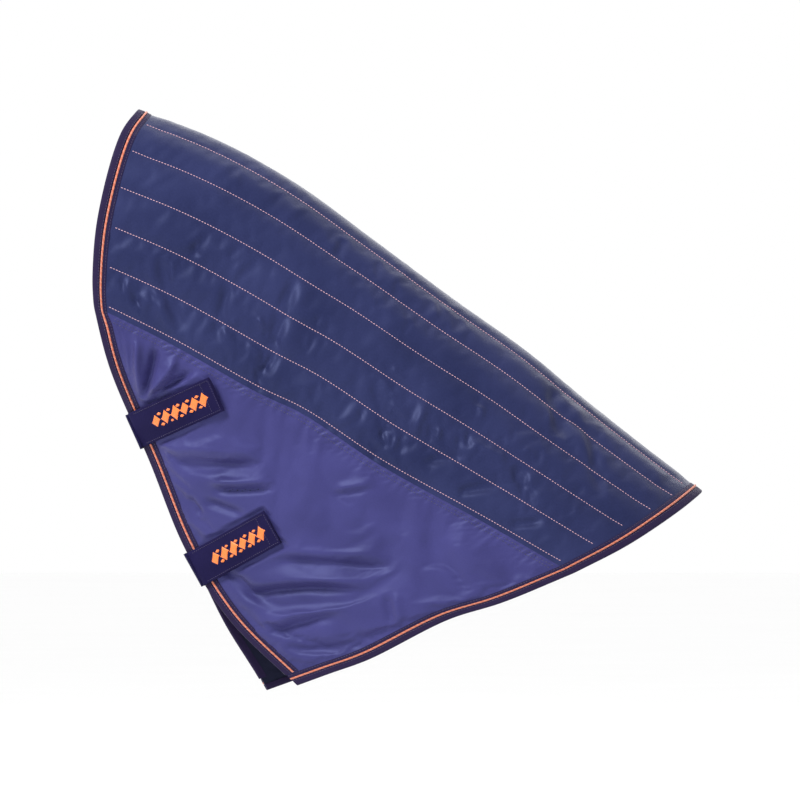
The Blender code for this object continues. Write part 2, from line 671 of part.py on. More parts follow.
# ---- the cover ----
def build_side(side, word, quilt, lower):
    """Cloth layers, seam tape and patches of one side."""
    grown = wadding_growth()
    top = SHELL_THICKNESS + GAP
    inside = [slice(3, -2), slice(3, -3)]
    lining_depths = top + grown * (WADDING_THICKNESS + WADDING_EASE)
    cloth_solid(f"quilt_shell_{word}", quilt.layer(0.0), quilt.layer(SHELL_THICKNESS), "quilt_cloth")
    cloth_solid(f"wadding_{word}", quilt.layer(top, *inside),
                quilt.layer(top + grown * WADDING_THICKNESS, *inside), "wadding_fibre")
    cloth_solid(f"quilt_lining_{word}", quilt.layer(lining_depths),
                quilt.layer(lining_depths + LINING_THICKNESS), "lining_cloth")
    cloth_solid(f"lower_shell_{word}", lower.layer(0.0), lower.layer(SHELL_THICKNESS), "throat_cloth")
    cloth_solid(f"lower_lining_{word}", lower.layer(top), lower.layer(STACK), "lining_cloth")
    seam_tape(word, side)
    upper_lining = Face(quilt.layer(lining_depths + LINING_THICKNESS), side).tree()
    rug_patch(f"rug_patch_{word}_upper", quilt_patch_point(side), upper_lining, side)
    lower_lining = Face(lower.layer(STACK), side).tree()
    rug_patch(f"rug_patch_{word}_lower", lower_patch_point(side), lower_lining, side)


def main():
    for old in list(bpy.data.objects):
        bpy.data.objects.remove(old, do_unlink=True)
    faces = {}
    for side in (LEFT, RIGHT):
        quilt = quilt_face(side)
        faces[side] = (quilt, lower_face(side, quilt))
    for side, word in ((LEFT, "left"), (RIGHT, "right")):
        build_side(side, word, *faces[side])
    crest_tape()
    for place, make_stations in (("front", front_stations), ("hem", hem_stations)):
        stations = both_sides(make_stations, faces)
        edge_piece(f"{place}_binding", stations, BINDING_OUTSIDE, BINDING_INSIDE, "binding_tape")
        edge_piece(f"{place}_piping", stations, PIPING_TOP, PIPING_FLAT, "piping_cord")
    trees = {side: [face.tree() for face in faces[side]] for side in (LEFT, RIGHT)}
    for name, share in (("upper_strap", UPPER_STRAP_SHARE), ("lower_strap", LOWER_STRAP_SHARE)):
        throat_strap(name, share, trees)


main()
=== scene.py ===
"""The looks of a turnout rug's neck cover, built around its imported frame.

Quilted sides with stitched channels, plain throat panels with gathers and folds, bound and corded edges,
and two closed throat straps. All sizes are in metres: +X towards the withers, -Y the left side, +Z up.
"""
from __future__ import annotations

import json
import logging
import math
import random
from dataclasses import dataclass, field
from enum import Enum
from typing import ClassVar, Iterable, Optional, Sequence

import bmesh
import bpy
import numpy as np
from mathutils import Matrix, Vector
from mathutils.bvhtree import BVHTree


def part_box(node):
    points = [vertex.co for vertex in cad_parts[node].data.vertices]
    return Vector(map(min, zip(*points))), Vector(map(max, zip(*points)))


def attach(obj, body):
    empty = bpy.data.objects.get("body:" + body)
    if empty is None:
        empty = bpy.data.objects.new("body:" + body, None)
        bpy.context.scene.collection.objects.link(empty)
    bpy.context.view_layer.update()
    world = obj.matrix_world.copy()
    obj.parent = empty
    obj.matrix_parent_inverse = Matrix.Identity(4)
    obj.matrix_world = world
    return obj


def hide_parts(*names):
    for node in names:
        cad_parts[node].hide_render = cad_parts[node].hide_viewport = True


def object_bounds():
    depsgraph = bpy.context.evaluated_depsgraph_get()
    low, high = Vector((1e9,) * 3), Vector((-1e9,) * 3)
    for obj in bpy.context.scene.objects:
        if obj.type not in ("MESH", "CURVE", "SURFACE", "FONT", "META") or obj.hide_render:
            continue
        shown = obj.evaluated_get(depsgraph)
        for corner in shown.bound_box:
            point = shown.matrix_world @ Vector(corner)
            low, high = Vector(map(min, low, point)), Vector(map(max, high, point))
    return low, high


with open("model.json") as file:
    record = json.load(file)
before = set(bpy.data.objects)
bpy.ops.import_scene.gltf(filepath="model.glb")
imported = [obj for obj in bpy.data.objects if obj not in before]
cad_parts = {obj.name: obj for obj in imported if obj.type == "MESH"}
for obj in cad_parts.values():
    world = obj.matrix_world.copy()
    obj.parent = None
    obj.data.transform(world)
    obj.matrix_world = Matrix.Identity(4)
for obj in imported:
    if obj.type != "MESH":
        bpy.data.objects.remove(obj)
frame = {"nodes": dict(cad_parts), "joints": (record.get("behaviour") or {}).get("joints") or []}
CAD_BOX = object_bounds()
LOG = logging.getLogger("neck_cover")
COVER = "cover"
GridSpots = list[tuple[bmesh.types.BMVert, int, int]]


class Side(Enum):
    """A side of the cover, with the sign of its Y."""

    LEFT = -1
    RIGHT = 1

    @property
    def word(self) -> str:
        """Return the side's name in lower case."""
        return self.name.lower()


# ---- small helpers -------------------------------------------------------------------------------------
def smoothstep(values: np.ndarray) -> np.ndarray:
    """Ease values from 0 to 1 and hold them outside that range."""
    eased = np.clip(values, 0.0, 1.0)
    return eased * eased * (3 - 2 * eased)


def unit(vectors: np.ndarray) -> np.ndarray:
    """Return vectors of length 1."""
    return vectors / np.maximum(np.linalg.norm(vectors, axis=-1, keepdims=True), 1e-12)


def wavy(a: np.ndarray, b: np.ndarray, seed: int, octaves: int = 3) -> np.ndarray:
    """Smooth uneven waves over two coordinates.

    Args:
        a: First coordinate, in wavelengths.
        b: Second coordinate, in wavelengths.
        seed: Which pattern to give.
        octaves: How many finer layers to add.

    Returns:
        Values of about -1 to 1.
    """
    draw = random.Random(seed)
    total, weight, whole = np.zeros(np.broadcast(a, b).shape), 1.0, 0.0
    for octave in range(octaves):
        for _ in range(4):
            angle = draw.uniform(0, 2 * math.pi)
            turn = draw.uniform(0.75, 1.3) * 2 ** octave * 2 * math.pi
            phase = draw.uniform(0, 2 * math.pi)
            total += weight * np.sin(turn * (a * math.cos(angle) + b * math.sin(angle)) + phase)
        whole += weight * 2.2
        weight *= 0.5
    return total / whole


def grid_normals(points: np.ndarray, side: Side) -> np.ndarray:
    """Return the outward normals of a grid of points (rows run down, columns run back)."""
    down, along = np.gradient(points, axis=0), np.gradient(points, axis=1)
    return unit(np.cross(down, along) * -side.value)


def run_lengths(points: np.ndarray) -> np.ndarray:
    """Return how far each point lies along its line, where lines run down the first axis."""
    steps = np.linalg.norm(np.diff(points, axis=0), axis=-1)
    return np.concatenate([np.zeros_like(steps[:1]), np.cumsum(steps, axis=0)])


def read_line(places: np.ndarray | float, along: np.ndarray, points: np.ndarray) -> np.ndarray:
    """Return the points of a line at places along it."""
    return np.stack([np.interp(places, along, points[:, k]) for k in range(points.shape[1])], axis=-1)


def smooth_line(points: np.ndarray, passes: int) -> np.ndarray:
    """Even out a line of points and keep its ends.

    Args:
        points: Points down the first axis.
        passes: How many times to even them out.

    Returns:
        The evened points.
    """
    for _ in range(passes):
        points = np.concatenate([points[:1], (points[:-2] + 2 * points[1:-1] + points[2:]) / 4, points[-1:]])
    return points


# ---- the form of the cloth -----------------------------------------------------------------------------
class OutlineCurve:
    """A smooth plane curve through a few points, read by its share of length."""

    STEPS = 24

    def __init__(self, points: Sequence[tuple[float, float]],
                 size: tuple[float, float] = (1.0, 1.0)) -> None:
        """Make the curve dense.

        Args:
            points: Points on the curve, in shares of the size.
            size: The cover's length and height.
        """
        spots = np.array(points, float) * size
        ends = [2 * spots[0] - spots[1], *spots, 2 * spots[-1] - spots[-2]]
        dense = [spots[0]]
        for controls in zip(ends, ends[1:], ends[2:], ends[3:]):
            gaps = [math.sqrt(np.linalg.norm(q - p)) for p, q in zip(controls, controls[1:])]
            knots = np.cumsum([0.0] + gaps)
            for t in np.linspace(knots[1], knots[2], self.STEPS + 1)[1:]:
                dense.append(self._segment(controls, knots, t))
        self.points = np.array(dense)
        self.along = run_lengths(self.points)
        self.length = float(self.along[-1])

    @staticmethod
    def _segment(controls: Sequence[np.ndarray], knots: np.ndarray, t: float) -> np.ndarray:
        """Return one point of a Catmull-Rom segment by repeated blending.

        Args:
            controls: Four points, of which the middle two end the segment.
            knots: The curve's parameter at each of them.
            t: The parameter of the wanted point.

        Returns:
            The point.
        """
        def mix(p: np.ndarray, q: np.ndarray, start: float, end: float) -> np.ndarray:
            """Return the point between p and q at t."""
            return ((end - t) * p + (t - start) * q) / (end - start)
        pairs = [mix(controls[k], controls[k + 1], knots[k], knots[k + 1]) for k in range(3)]
        first = mix(pairs[0], pairs[1], knots[0], knots[2])
        second = mix(pairs[1], pairs[2], knots[1], knots[3])
        return mix(first, second, knots[1], knots[2])

    def at(self, share: np.ndarray | float) -> np.ndarray:
        """Return the points at shares of the length."""
        return read_line(np.asarray(share, float) * self.length, self.along, self.points)


@dataclass
class CoverForm:
    """The outer face of the cloth: the quilted part and the throat part of each side."""

    size: tuple[float, float] = (0.8205, 0.773)
    quilt_depth: float = 0.287
    poll_turn: float = 0.186
    withers_turn: float = 0.372
    turn_power: float = 1.3
    throat_curl: float = 1.8
    right_shift: tuple[float, float, float] = (-0.042, -0.024, -0.0095)
    right_shift_start: float = 0.67
    band: float = 0.0181

    def __post_init__(self) -> None:
        """Make the outlines and the table of the cross-section."""
        self.crest = OutlineCurve([(-0.4948, 0.3208), (-0.3620, 0.2652), (-0.2352, 0.1902),
                                   (-0.1097, 0.0931), (0.0165, -0.0065), (0.1414, -0.1009),
                                   (0.2340, -0.1824), (0.3291, -0.2626), (0.4290, -0.3435)], self.size)
        self.cheek = OutlineCurve([(-0.4948, 0.3208), (-0.5204, 0.2807), (-0.5588, 0.1307),
                                   (-0.5673, 0.0246), (-0.5655, -0.0220)], self.size)
        self.seam = OutlineCurve([(-0.5655, -0.0220), (-0.4449, -0.0854), (-0.2986, -0.1721),
                                  (-0.2243, -0.2096), (-0.0987, -0.2975), (0.0695, -0.3959),
                                  (0.2139, -0.4838)], self.size)
        self.withers = OutlineCurve([(0.4290, -0.3435), (0.3876, -0.3765), (0.3035, -0.4347),
                                     (0.2139, -0.4838)], self.size)
        self.throat = OutlineCurve([(-0.5655, -0.0220), (-0.5387, -0.1320), (-0.4753, -0.2911),
                                    (-0.4168, -0.4437), (-0.3461, -0.5640), (-0.2352, -0.6792)], self.size)
        self.hem = OutlineCurve([(0.2139, -0.4838), (0.0987, -0.5343), (0.0110, -0.5640), (-0.1194, -0.6339),
                                 (-0.1828, -0.6585), (-0.2352, -0.6792)], self.size)
        self.steps = np.linspace(0.0, 2.5, 1001)
        angles = math.pi / 2 * np.sin(math.pi / 2 * np.minimum(self.steps, 1.0))
        self.drops, self.widths = self._running(np.sin(angles)), self._running(np.cos(angles))
        start = float(self.half_width(np.array(0.0), np.array(self.quilt_depth)))
        self.throat_widths = OutlineCurve([(0.0, start), (0.05, 0.0865), (0.15, 0.066), (0.30, 0.034),
                                           (0.60, 0.036), (1.0, 0.085)])

    def _running(self, values: np.ndarray) -> np.ndarray:
        """Return the integral of the values over the turn's steps."""
        return np.concatenate([[0.0], np.cumsum((values[1:] + values[:-1]) / 2 * self.steps[1])])

    def turn_length(self, u: np.ndarray) -> np.ndarray:
        """Return the length of cloth in which the side turns upright."""
        return self.poll_turn + (self.withers_turn - self.poll_turn) * u ** self.turn_power

    def half_width(self, u: np.ndarray, s: np.ndarray) -> np.ndarray:
        """Return half the cover's width at u from poll to withers and s down over the cloth."""
        turn = self.turn_length(u)
        return turn * np.interp(s / turn, self.steps, self.widths)

    def row_length(self, s: np.ndarray | float) -> np.ndarray | float:
        """Return the length of a row of the quilted part."""
        return self.crest.length + (self.seam.length - self.crest.length) * s / self.quilt_depth

    def panel_row_length(self, w: np.ndarray) -> np.ndarray:
        """Return the length of a row of the throat part."""
        return self.seam.length + (self.throat.length - self.seam.length) * w

    def quilt(self, u: np.ndarray, s: np.ndarray, side: Side) -> np.ndarray:
        """Return points of the quilted face: u from poll to withers, s down from the crest.

        Args:
            u: Shares from poll to withers.
            s: Lengths down over the cloth.
            side: The side.

        Returns:
            The points, with a last axis of 3.
        """
        turn = self.turn_length(u)
        d = np.interp(s / turn, self.steps, self.drops) / np.interp(self.quilt_depth / turn, self.steps,
                                                                     self.drops)
        du, uu = d[..., None], u[..., None]
        corners = ((1 - uu) * ((1 - du) * self.crest.at(0) + du * self.seam.at(0))
                   + uu * ((1 - du) * self.crest.at(1) + du * self.seam.at(1)))
        plan = ((1 - du) * self.crest.at(u) + du * self.seam.at(u) + (1 - uu) * self.cheek.at(d)
                + uu * self.withers.at(d) - corners)
        return np.stack([plan[..., 0], side.value * self.half_width(u, s), plan[..., 1]], axis=-1)

    def lower(self, u: np.ndarray, w: np.ndarray, side: Side) -> np.ndarray:
        """Return points of the throat part: u from cheek to hem, w from the seam to the throat edge.

        Args:
            u: Shares from cheek to hem.
            w: Shares from the seam to the throat edge.
            side: The side.

        Returns:
            The points, with a last axis of 3.
        """
        uu, ww = u[..., None], w[..., None]
        plan = ((1 - ww) * self.seam.at(u) + ww * self.throat.at(u)
                + uu * (self.hem.at(w) - (1 - ww) * self.hem.at(0) - ww * self.hem.at(1)))
        curl = w ** self.throat_curl
        throat_half = np.interp(u, self.throat_widths.points[:, 0], self.throat_widths.points[:, 1])
        seam_half = self.half_width(u, np.full_like(u, self.quilt_depth))
        width = (1 - curl) * seam_half + curl * throat_half
        points = np.stack([plan[..., 0], side.value * width, plan[..., 1]], axis=-1)
        if side is Side.RIGHT:
            reach = np.clip((u - self.right_shift_start) / (1 - self.right_shift_start), 0.0, 1.0)
            points = points + np.array(self.right_shift) * (reach ** 1.4 * w ** 1.5)[..., None]
        return points

    def throat_frame(self, share: float) -> tuple[np.ndarray, np.ndarray]:
        """Return a place on the throat line and the line's direction there, in the side view."""
        run = self.throat.at(share + 0.02) - self.throat.at(share - 0.02)
        return self.throat.at(share), run / np.linalg.norm(run)


FORM = CoverForm()
STRAP_SHARES = {"upper_strap": 0.300, "lower_strap": 0.648}
STRAP_REACH = {Side.LEFT: 0.118, Side.RIGHT: 0.062}


# ---- finishes ------------------------------------------------------------------------------------------
class NodeBench:
    """A material's node tree while it is being put together."""

    def __init__(self, name: str) -> None:
        """Start a material with a Principled shader.

        Args:
            name: The material's name.
        """
        self.material = bpy.data.materials.new(name)
        self.material.use_nodes = True
        self.tree = self.material.node_tree
        self.shader = self.tree.nodes["Principled BSDF"]

    def add(self, kind: str, inputs: Optional[dict] = None, **settings: object) -> bpy.types.Node:
        """Add a node.

        Args:
            kind: The node's type name without its ShaderNode start.
            inputs: Values or output sockets by input name or number.
            **settings: Properties of the node.

        Returns:
            The new node.
        """
        node = self.tree.nodes.new("ShaderNode" + kind)
        for key, value in settings.items():
            setattr(node, key, value)
        for key, value in (inputs or {}).items():
            self.plug(node.inputs[key], value)
        return node

    def plug(self, socket: bpy.types.NodeSocket, value: object) -> None:
        """Set a socket to a value or link an output to it.

        Args:
            socket: An input socket.
            value: A value or an output socket.
        """
        if isinstance(value, bpy.types.NodeSocket):
            self.tree.links.new(value, socket)
        else:
            socket.default_value = value

    def shade(self, **values: object) -> None:
        """Set the shader's sockets, whose names are written with _ for a blank."""
        for key, value in values.items():
            self.plug(self.shader.inputs[key.replace("_", " ").title().replace("Ior", "IOR")], value)

    def math(self, operation: str, a: object, b: object = 0.0) -> bpy.types.NodeSocket:
        """Return the result of a Math node."""
        return self.add("Math", {0: a, 1: b}, operation=operation).outputs[0]

    def mix(self, share: object, a: object, b: object) -> bpy.types.NodeSocket:
        """Return a mix of two colours.

        Args:
            share: How much of the second colour, from 0 to 1.
            a: The first colour.
            b: The second colour.

        Returns:
            The mixed colour.
        """
        node = self.add("Mix", data_type="RGBA")
        for socket, value in zip((node.inputs[0], node.inputs[6], node.inputs[7]), (share, a, b)):
            self.plug(socket, value)
        return node.outputs[2]

    def blend(self, *parts: tuple[object, float]) -> bpy.types.NodeSocket:
        """Return the sum of two outputs, each times its share."""
        return self.math("ADD", *[self.math("MULTIPLY", value, share) for value, share in parts])

    def spread(self, value: object, before: tuple[float, float],
               after: tuple[float, float] = (0.0, 1.0)) -> bpy.types.NodeSocket:
        """Return a value moved from one range into another and held there."""
        return self.add("MapRange", dict(enumerate((value, *before, *after)))).outputs[0]

    def cloth_place(self) -> bpy.types.NodeSocket:
        """Return the place on the cloth, in metres along and down it."""
        return self.add("Attribute", attribute_name="cloth").outputs["Vector"]

    def object_place(self) -> bpy.types.NodeSocket:
        """Return the place in the object, in metres."""
        return self.add("TexCoord").outputs["Object"]

    def noise(self, place: object, scale: float, detail: float = 2.0) -> bpy.types.NodeSocket:
        """Return noise of a scale in features per metre."""
        return self.add("TexNoise", {"Vector": place, "Scale": scale, "Detail": detail}).outputs["Fac"]

    def bands(self, place: object, pitch: float, direction: str) -> bpy.types.NodeSocket:
        """Return even bands of a pitch in metres across a direction."""
        return self.add("TexWave", {"Vector": place, "Scale": math.pi / 10 / pitch, "Distortion": 0.0},
                        bands_direction=direction).outputs["Fac"]

    def bump(self, height: object, distance: float, strength: float = 1.0) -> None:
        """Give the shader a bump from a height."""
        node = self.add("Bump", {"Height": height, "Distance": distance, "Strength": strength})
        self.plug(self.shader.inputs["Normal"], node.outputs["Normal"])


def colour(red: float, green: float, blue: float) -> tuple[float, float, float, float]:
    """Return a linear colour from display values of 0 to 255."""
    shares = [value / 255 for value in (red, green, blue)]
    return (*[share / 12.92 if share <= 0.04 else ((share + 0.055) / 1.055) ** 2.4 for share in shares], 1.0)


@dataclass(frozen=True)
class WovenCloth:
    """A close-woven cloth with a soft sheen."""

    name: str
    deep: tuple[float, float, float]
    pale: tuple[float, float, float]
    roughness: float = 0.5
    sheen: float = 0.35
    sheen_colour: tuple[float, float, float] = (190, 190, 205)
    gloss_colour: tuple[float, float, float] = (165, 178, 235)
    gloss: float = 0.28
    pitch: float = 0.0011
    relief: float = 0.00006
    crumple: float = 0.0006

    def make(self) -> bpy.types.Material:
        """Return the material.

        Returns:
            The material.
        """
        bench = NodeBench(self.name)
        place = bench.cloth_place()
        broad = bench.noise(place, 9.0, 3.0)
        slub = bench.noise(place, 420.0, 2.0)
        ramp = bench.spread(bench.blend((broad, 0.75), (slub, 0.25)), (0.34, 0.66))
        warp, weft = [bench.bands(place, self.pitch, way) for way in ("X", "Y")]
        weave = bench.math("MULTIPLY", warp, weft)
        tone = bench.mix(ramp, colour(*self.deep), colour(*self.pale))
        thread = bench.spread(weave, (0.0, 1.0), (0.90, 1.06))
        joined = bench.add("CombineXYZ", {0: thread, 1: thread, 2: thread}).outputs[0]
        shaded = bench.add("VectorMath", {0: tone, 1: joined}, operation="MULTIPLY")
        rough = bench.spread(broad, (0.3, 0.7), (self.roughness - 0.05, self.roughness + 0.06))
        bench.shade(base_color=shaded.outputs[0], roughness=rough, sheen_weight=self.sheen,
                    sheen_roughness=0.45, sheen_tint=colour(*self.sheen_colour),
                    specular_ior_level=self.gloss, specular_tint=colour(*self.gloss_colour))
        crumples = bench.noise(place, 60.0, 4.0)
        bench.bump(bench.blend((crumples, self.crumple), (weave, self.relief)), 1.0, 0.6)
        return bench.material


@dataclass(frozen=True)
class RibbedTape:
    """A woven tape with fine ribs across its length."""

    name: str
    deep: tuple[float, float, float]
    pale: tuple[float, float, float]
    rib: float = 0.0016
    roughness: float = 0.62

    def make(self) -> bpy.types.Material:
        """Return the material.

        Returns:
            The material.
        """
        bench = NodeBench(self.name)
        place = bench.cloth_place()
        ribs = bench.bands(place, self.rib, "X")
        uneven = bench.noise(place, 60.0, 3.0)
        share = bench.blend((ribs, 0.45), (uneven, 0.55))
        bench.shade(base_color=bench.mix(share, colour(*self.deep), colour(*self.pale)),
                    roughness=self.roughness, sheen_weight=0.05, sheen_roughness=0.5,
                    sheen_tint=colour(170, 165, 185), specular_ior_level=0.08)
        bench.bump(bench.blend((ribs, 0.00012), (uneven, 0.0003)), 1.0, 0.7)
        return bench.material


@dataclass(frozen=True)
class TwistedCord:
    """Two plies of silky thread, one a little paler, laid in a twist."""

    name: str
    strong: tuple[float, float, float]
    soft: tuple[float, float, float]
    lay: float

    def make(self) -> bpy.types.Material:
        """Return the material.

        Returns:
            The material.
        """
        bench = NodeBench(self.name)
        place = bench.cloth_place()
        apart = bench.add("SeparateXYZ", {0: place})
        turn = bench.math("MULTIPLY", apart.outputs[0], 2 * math.pi / self.lay)
        phase = bench.math("SUBTRACT", apart.outputs[1], turn)
        ply = bench.math("COSINE", phase)
        share = bench.spread(ply, (-0.35, 0.35))
        strands = bench.math("SINE", bench.math("MULTIPLY", phase, 14.0))
        bench.shade(base_color=bench.mix(share, colour(*self.strong), colour(*self.soft)), roughness=0.5,
                    sheen_weight=0.2, sheen_roughness=0.4, specular_ior_level=0.4)
        bench.bump(bench.math("MULTIPLY", strands, 0.00008), 1.0, 0.8)
        return bench.material


@dataclass(frozen=True)
class SewingThread:
    """Plain spun thread."""

    name: str
    tone: tuple[float, float, float]
    roughness: float = 0.55

    def make(self) -> bpy.types.Material:
        """Return the material.

        Returns:
            The material.
        """
        bench = NodeBench(self.name)
        fibre = bench.noise(bench.object_place(), 2500.0, 2.0)
        dim = colour(*(part * 0.8 for part in self.tone))
        bench.shade(base_color=bench.mix(fibre, dim, colour(*self.tone)), roughness=self.roughness,
                    sheen_weight=0.2, specular_ior_level=0.35)
        bench.bump(bench.math("MULTIPLY", fibre, 0.0001), 1.0, 0.5)
        return bench.material


@dataclass(frozen=True)
class LoopPile:
    """The short fuzz of a hook or loop pad, whose sheen makes it look pale grey."""

    name: str
    tone: tuple[float, float, float]

    def make(self) -> bpy.types.Material:
        """Return the material.

        Returns:
            The material.
        """
        bench = NodeBench(self.name)
        place = bench.object_place()
        fuzz = bench.add("TexVoronoi", {"Vector": place, "Scale": 900.0}).outputs["Distance"]
        dim = colour(*(part * 0.6 for part in self.tone))
        bench.shade(base_color=bench.mix(fuzz, dim, colour(*self.tone)), roughness=0.9, sheen_weight=0.5,
                    sheen_roughness=0.6, specular_ior_level=0.2)
        bench.bump(bench.math("MULTIPLY", fuzz, 0.0006), 1.0, 0.9)
        return bench.material


CORD_LAY = 0.0075
LINING_THICKNESS = 0.0007
QUILT_CLOTH = WovenCloth("quilt_cloth_look", (22, 26, 55), (33, 37, 70), 0.46, 0.02,
                         gloss=0.24, crumple=0.00012)
THROAT_CLOTH = WovenCloth("throat_cloth_look", (40, 38, 79), (49, 47, 94), 0.50, 0.06,
                          gloss=0.30, crumple=0.00008)
LINING_CLOTH = WovenCloth("lining_cloth_look", (12, 12, 25), (19, 19, 36), 0.6, 0.08)
STRAP_CLOTH = WovenCloth("strap_cloth_look", (16, 12, 40), (25, 21, 54), 0.75, 0.03,
                         gloss=0.08, pitch=0.0014, relief=0.00012, crumple=0.00015)
BINDING_TAPE = RibbedTape("binding_tape_look", (18, 11, 36), (33, 24, 54))
FLANGE_TAPE = RibbedTape("flange_tape_look", (17, 11, 37), (31, 23, 55), rib=0.0012)
PIPING_CORD = TwistedCord("piping_cord_look", (168, 84, 58), (178, 106, 84), CORD_LAY)
QUILT_THREAD = SewingThread("quilt_thread_look", (190, 148, 160))
DARK_THREAD = SewingThread("dark_thread_look", (52, 44, 76))
PANEL_THREAD = SewingThread("panel_thread_look", (24, 22, 56))
MOTIF_THREAD = SewingThread("motif_thread_look", (224, 112, 42), 0.42)
HOOK_AND_LOOP = LoopPile("hook_and_loop_look", (38, 36, 58))
FINISHES: dict[str, bpy.types.Material] = {}


def look(finish: object) -> bpy.types.Material:
    """Return the material of a finish, made once.

    Args:
        finish: A finish, with a name and a make method.

    Returns:
        The material.
    """
    if finish.name not in FINISHES:
        FINISHES[finish.name] = finish.make()
    return FINISHES[finish.name]


# ---- meshes --------------------------------------------------------------------------------------------
def mesh_of(name: str, bm: bmesh.types.BMesh) -> bpy.types.Mesh:
    """Return a mesh made from a bmesh, which is used up.

    Args:
        name: The mesh's name.
        bm: The bmesh.

    Returns:
        The mesh.
    """
    mesh = bpy.data.meshes.new(name)
    bm.to_mesh(mesh)
    bm.free()
    return mesh


def place_object(name: str, data: bpy.types.ID) -> bpy.types.Object:
    """Return a new object of a mesh, light or camera, placed in the scene.

    Args:
        name: The object's name.
        data: Its mesh, light or camera.

    Returns:
        The object.
    """
    item = bpy.data.objects.new(name, data)
    bpy.context.scene.collection.objects.link(item)
    return item


def add_piece(name: str, bm: bmesh.types.BMesh, finish: object, body: str = COVER,
              replaces: Iterable[str] = (), sharp: float = 60.0) -> bpy.types.Object:
    """Turn a bmesh into a named piece that rides on a body.

    Args:
        name: The piece's name.
        bm: Its mesh, which is used up.
        finish: Its finish.
        body: The body that it moves with.
        replaces: The CAD nodes that it stands for.
        sharp: Angle in degrees past which an edge looks sharp.

    Returns:
        The piece.
    """
    mesh = mesh_of(name, bm)
    mesh.materials.append(look(finish))
    mesh.shade_smooth()
    mesh.set_sharp_from_angle(angle=math.radians(sharp))
    piece = place_object(name, mesh)
    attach(piece, body)
    nodes = list(replaces)
    if nodes:
        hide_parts(*nodes)
    LOG.info("%s: %d faces, on %s", name, len(mesh.polygons), body)
    return piece


def face_outwards(bm: bmesh.types.BMesh) -> None:
    """Turn the faces of a closed mesh outwards.

    Args:
        bm: A closed mesh.
    """
    bmesh.ops.recalc_face_normals(bm, faces=bm.faces)
    if bm.calc_volume(signed=True) < 0:
        bmesh.ops.reverse_faces(bm, faces=bm.faces)


def search_tree(mesh: bpy.types.Mesh) -> BVHTree:
    """Return a search tree of a mesh."""
    corners = [vert.co for vert in mesh.vertices]
    return BVHTree.FromPolygons(corners, [face.vertices for face in mesh.polygons])


def flat_grid(rows: int, columns: int) -> tuple[bmesh.types.BMesh, GridSpots]:
    """Return a grid mesh and each vertex with its row and column.

    Args:
        rows: Vertices down.
        columns: Vertices along.

    Returns:
        The mesh, and each vertex with its row and column.
    """
    bm = bmesh.new()
    bm.verts.layers.float_vector.new("cloth")
    bmesh.ops.create_grid(bm, x_segments=columns - 1, y_segments=rows - 1, size=1.0)
    spots = [(vert, round((vert.co.y + 1) / 2 * (rows - 1)), round((vert.co.x + 1) / 2 * (columns - 1)))
             for vert in bm.verts]
    return bm, spots


def cloth_mesh(outer: np.ndarray, inner: np.ndarray, places: np.ndarray) -> bmesh.types.BMesh:
    """Return a closed cloth between two grids of points.

    Args:
        outer: Points of the outer face, rows by columns by 3.
        inner: Points of the inner face.
        places: The place on the flat cloth of each point, in metres, rows by columns by 2.

    Returns:
        The mesh, with the places in its cloth attribute.
    """
    bm, spots = flat_grid(*outer.shape[:2])
    layer = bm.verts.layers.float_vector["cloth"]
    first = [spot[0] for spot in spots]
    numbers = {(round(vert.co.x, 6), round(vert.co.y, 6)): (row, column) for vert, row, column in spots}
    made = bmesh.ops.extrude_face_region(bm, geom=list(bm.faces))
    second = [item for item in made["geom"] if isinstance(item, bmesh.types.BMVert)]
    for verts, grid in ((first, inner), (second, outer)):
        for vert in verts:
            row, column = numbers[(round(vert.co.x, 6), round(vert.co.y, 6))]
            vert[layer] = (*places[row, column], 0.0)
            vert.co = grid[row, column]
    face_outwards(bm)
    return bm


def swept_mesh(rings: np.ndarray, around: Optional[np.ndarray] = None) -> bmesh.types.BMesh:
    """Return a closed bar through rings of points.

    Args:
        rings: Stations by points of the section by 3.
        around: The second cloth coordinate of each section point, in metres or radians.

    Returns:
        The mesh, with its length and section place in the cloth attribute.
    """
    stations, segments = rings.shape[:2]
    bm = bmesh.new()
    layer = bm.verts.layers.float_vector.new("cloth")
    bmesh.ops.create_cone(bm, cap_ends=True, cap_tris=False, segments=segments, radius1=1.0, radius2=1.0,
                          depth=1.0)
    long_edges = [edge for edge in bm.edges if abs(edge.verts[0].co.z - edge.verts[1].co.z) > 0.5]
    bmesh.ops.subdivide_edges(bm, edges=long_edges, cuts=stations - 2, use_grid_fill=True)
    lengths = run_lengths(rings.mean(axis=1))
    for vert in bm.verts:
        station = round((vert.co.z + 0.5) * (stations - 1))
        part = round(math.atan2(vert.co.y, vert.co.x) / (2 * math.pi) * segments) % segments
        across = 0.0 if around is None else around[part]
        vert[layer] = (lengths[station], across, 0.0)
        vert.co = rings[station, part]
    face_outwards(bm)
    return bm


def add_lining(name: str, top: np.ndarray, normals: np.ndarray, places: np.ndarray,
               node: str) -> bpy.types.Object:
    """Add a thin lining under a grid of points.

    Args:
        name: The piece's name.
        top: Points of the face that touches the shell.
        normals: The outward normal at each point.
        places: The place on the flat cloth of each point.
        node: The CAD node that it stands for.

    Returns:
        The piece.
    """
    bm = cloth_mesh(top, top - normals * LINING_THICKNESS, places)
    return add_piece(name, bm, LINING_CLOTH, replaces=[node])


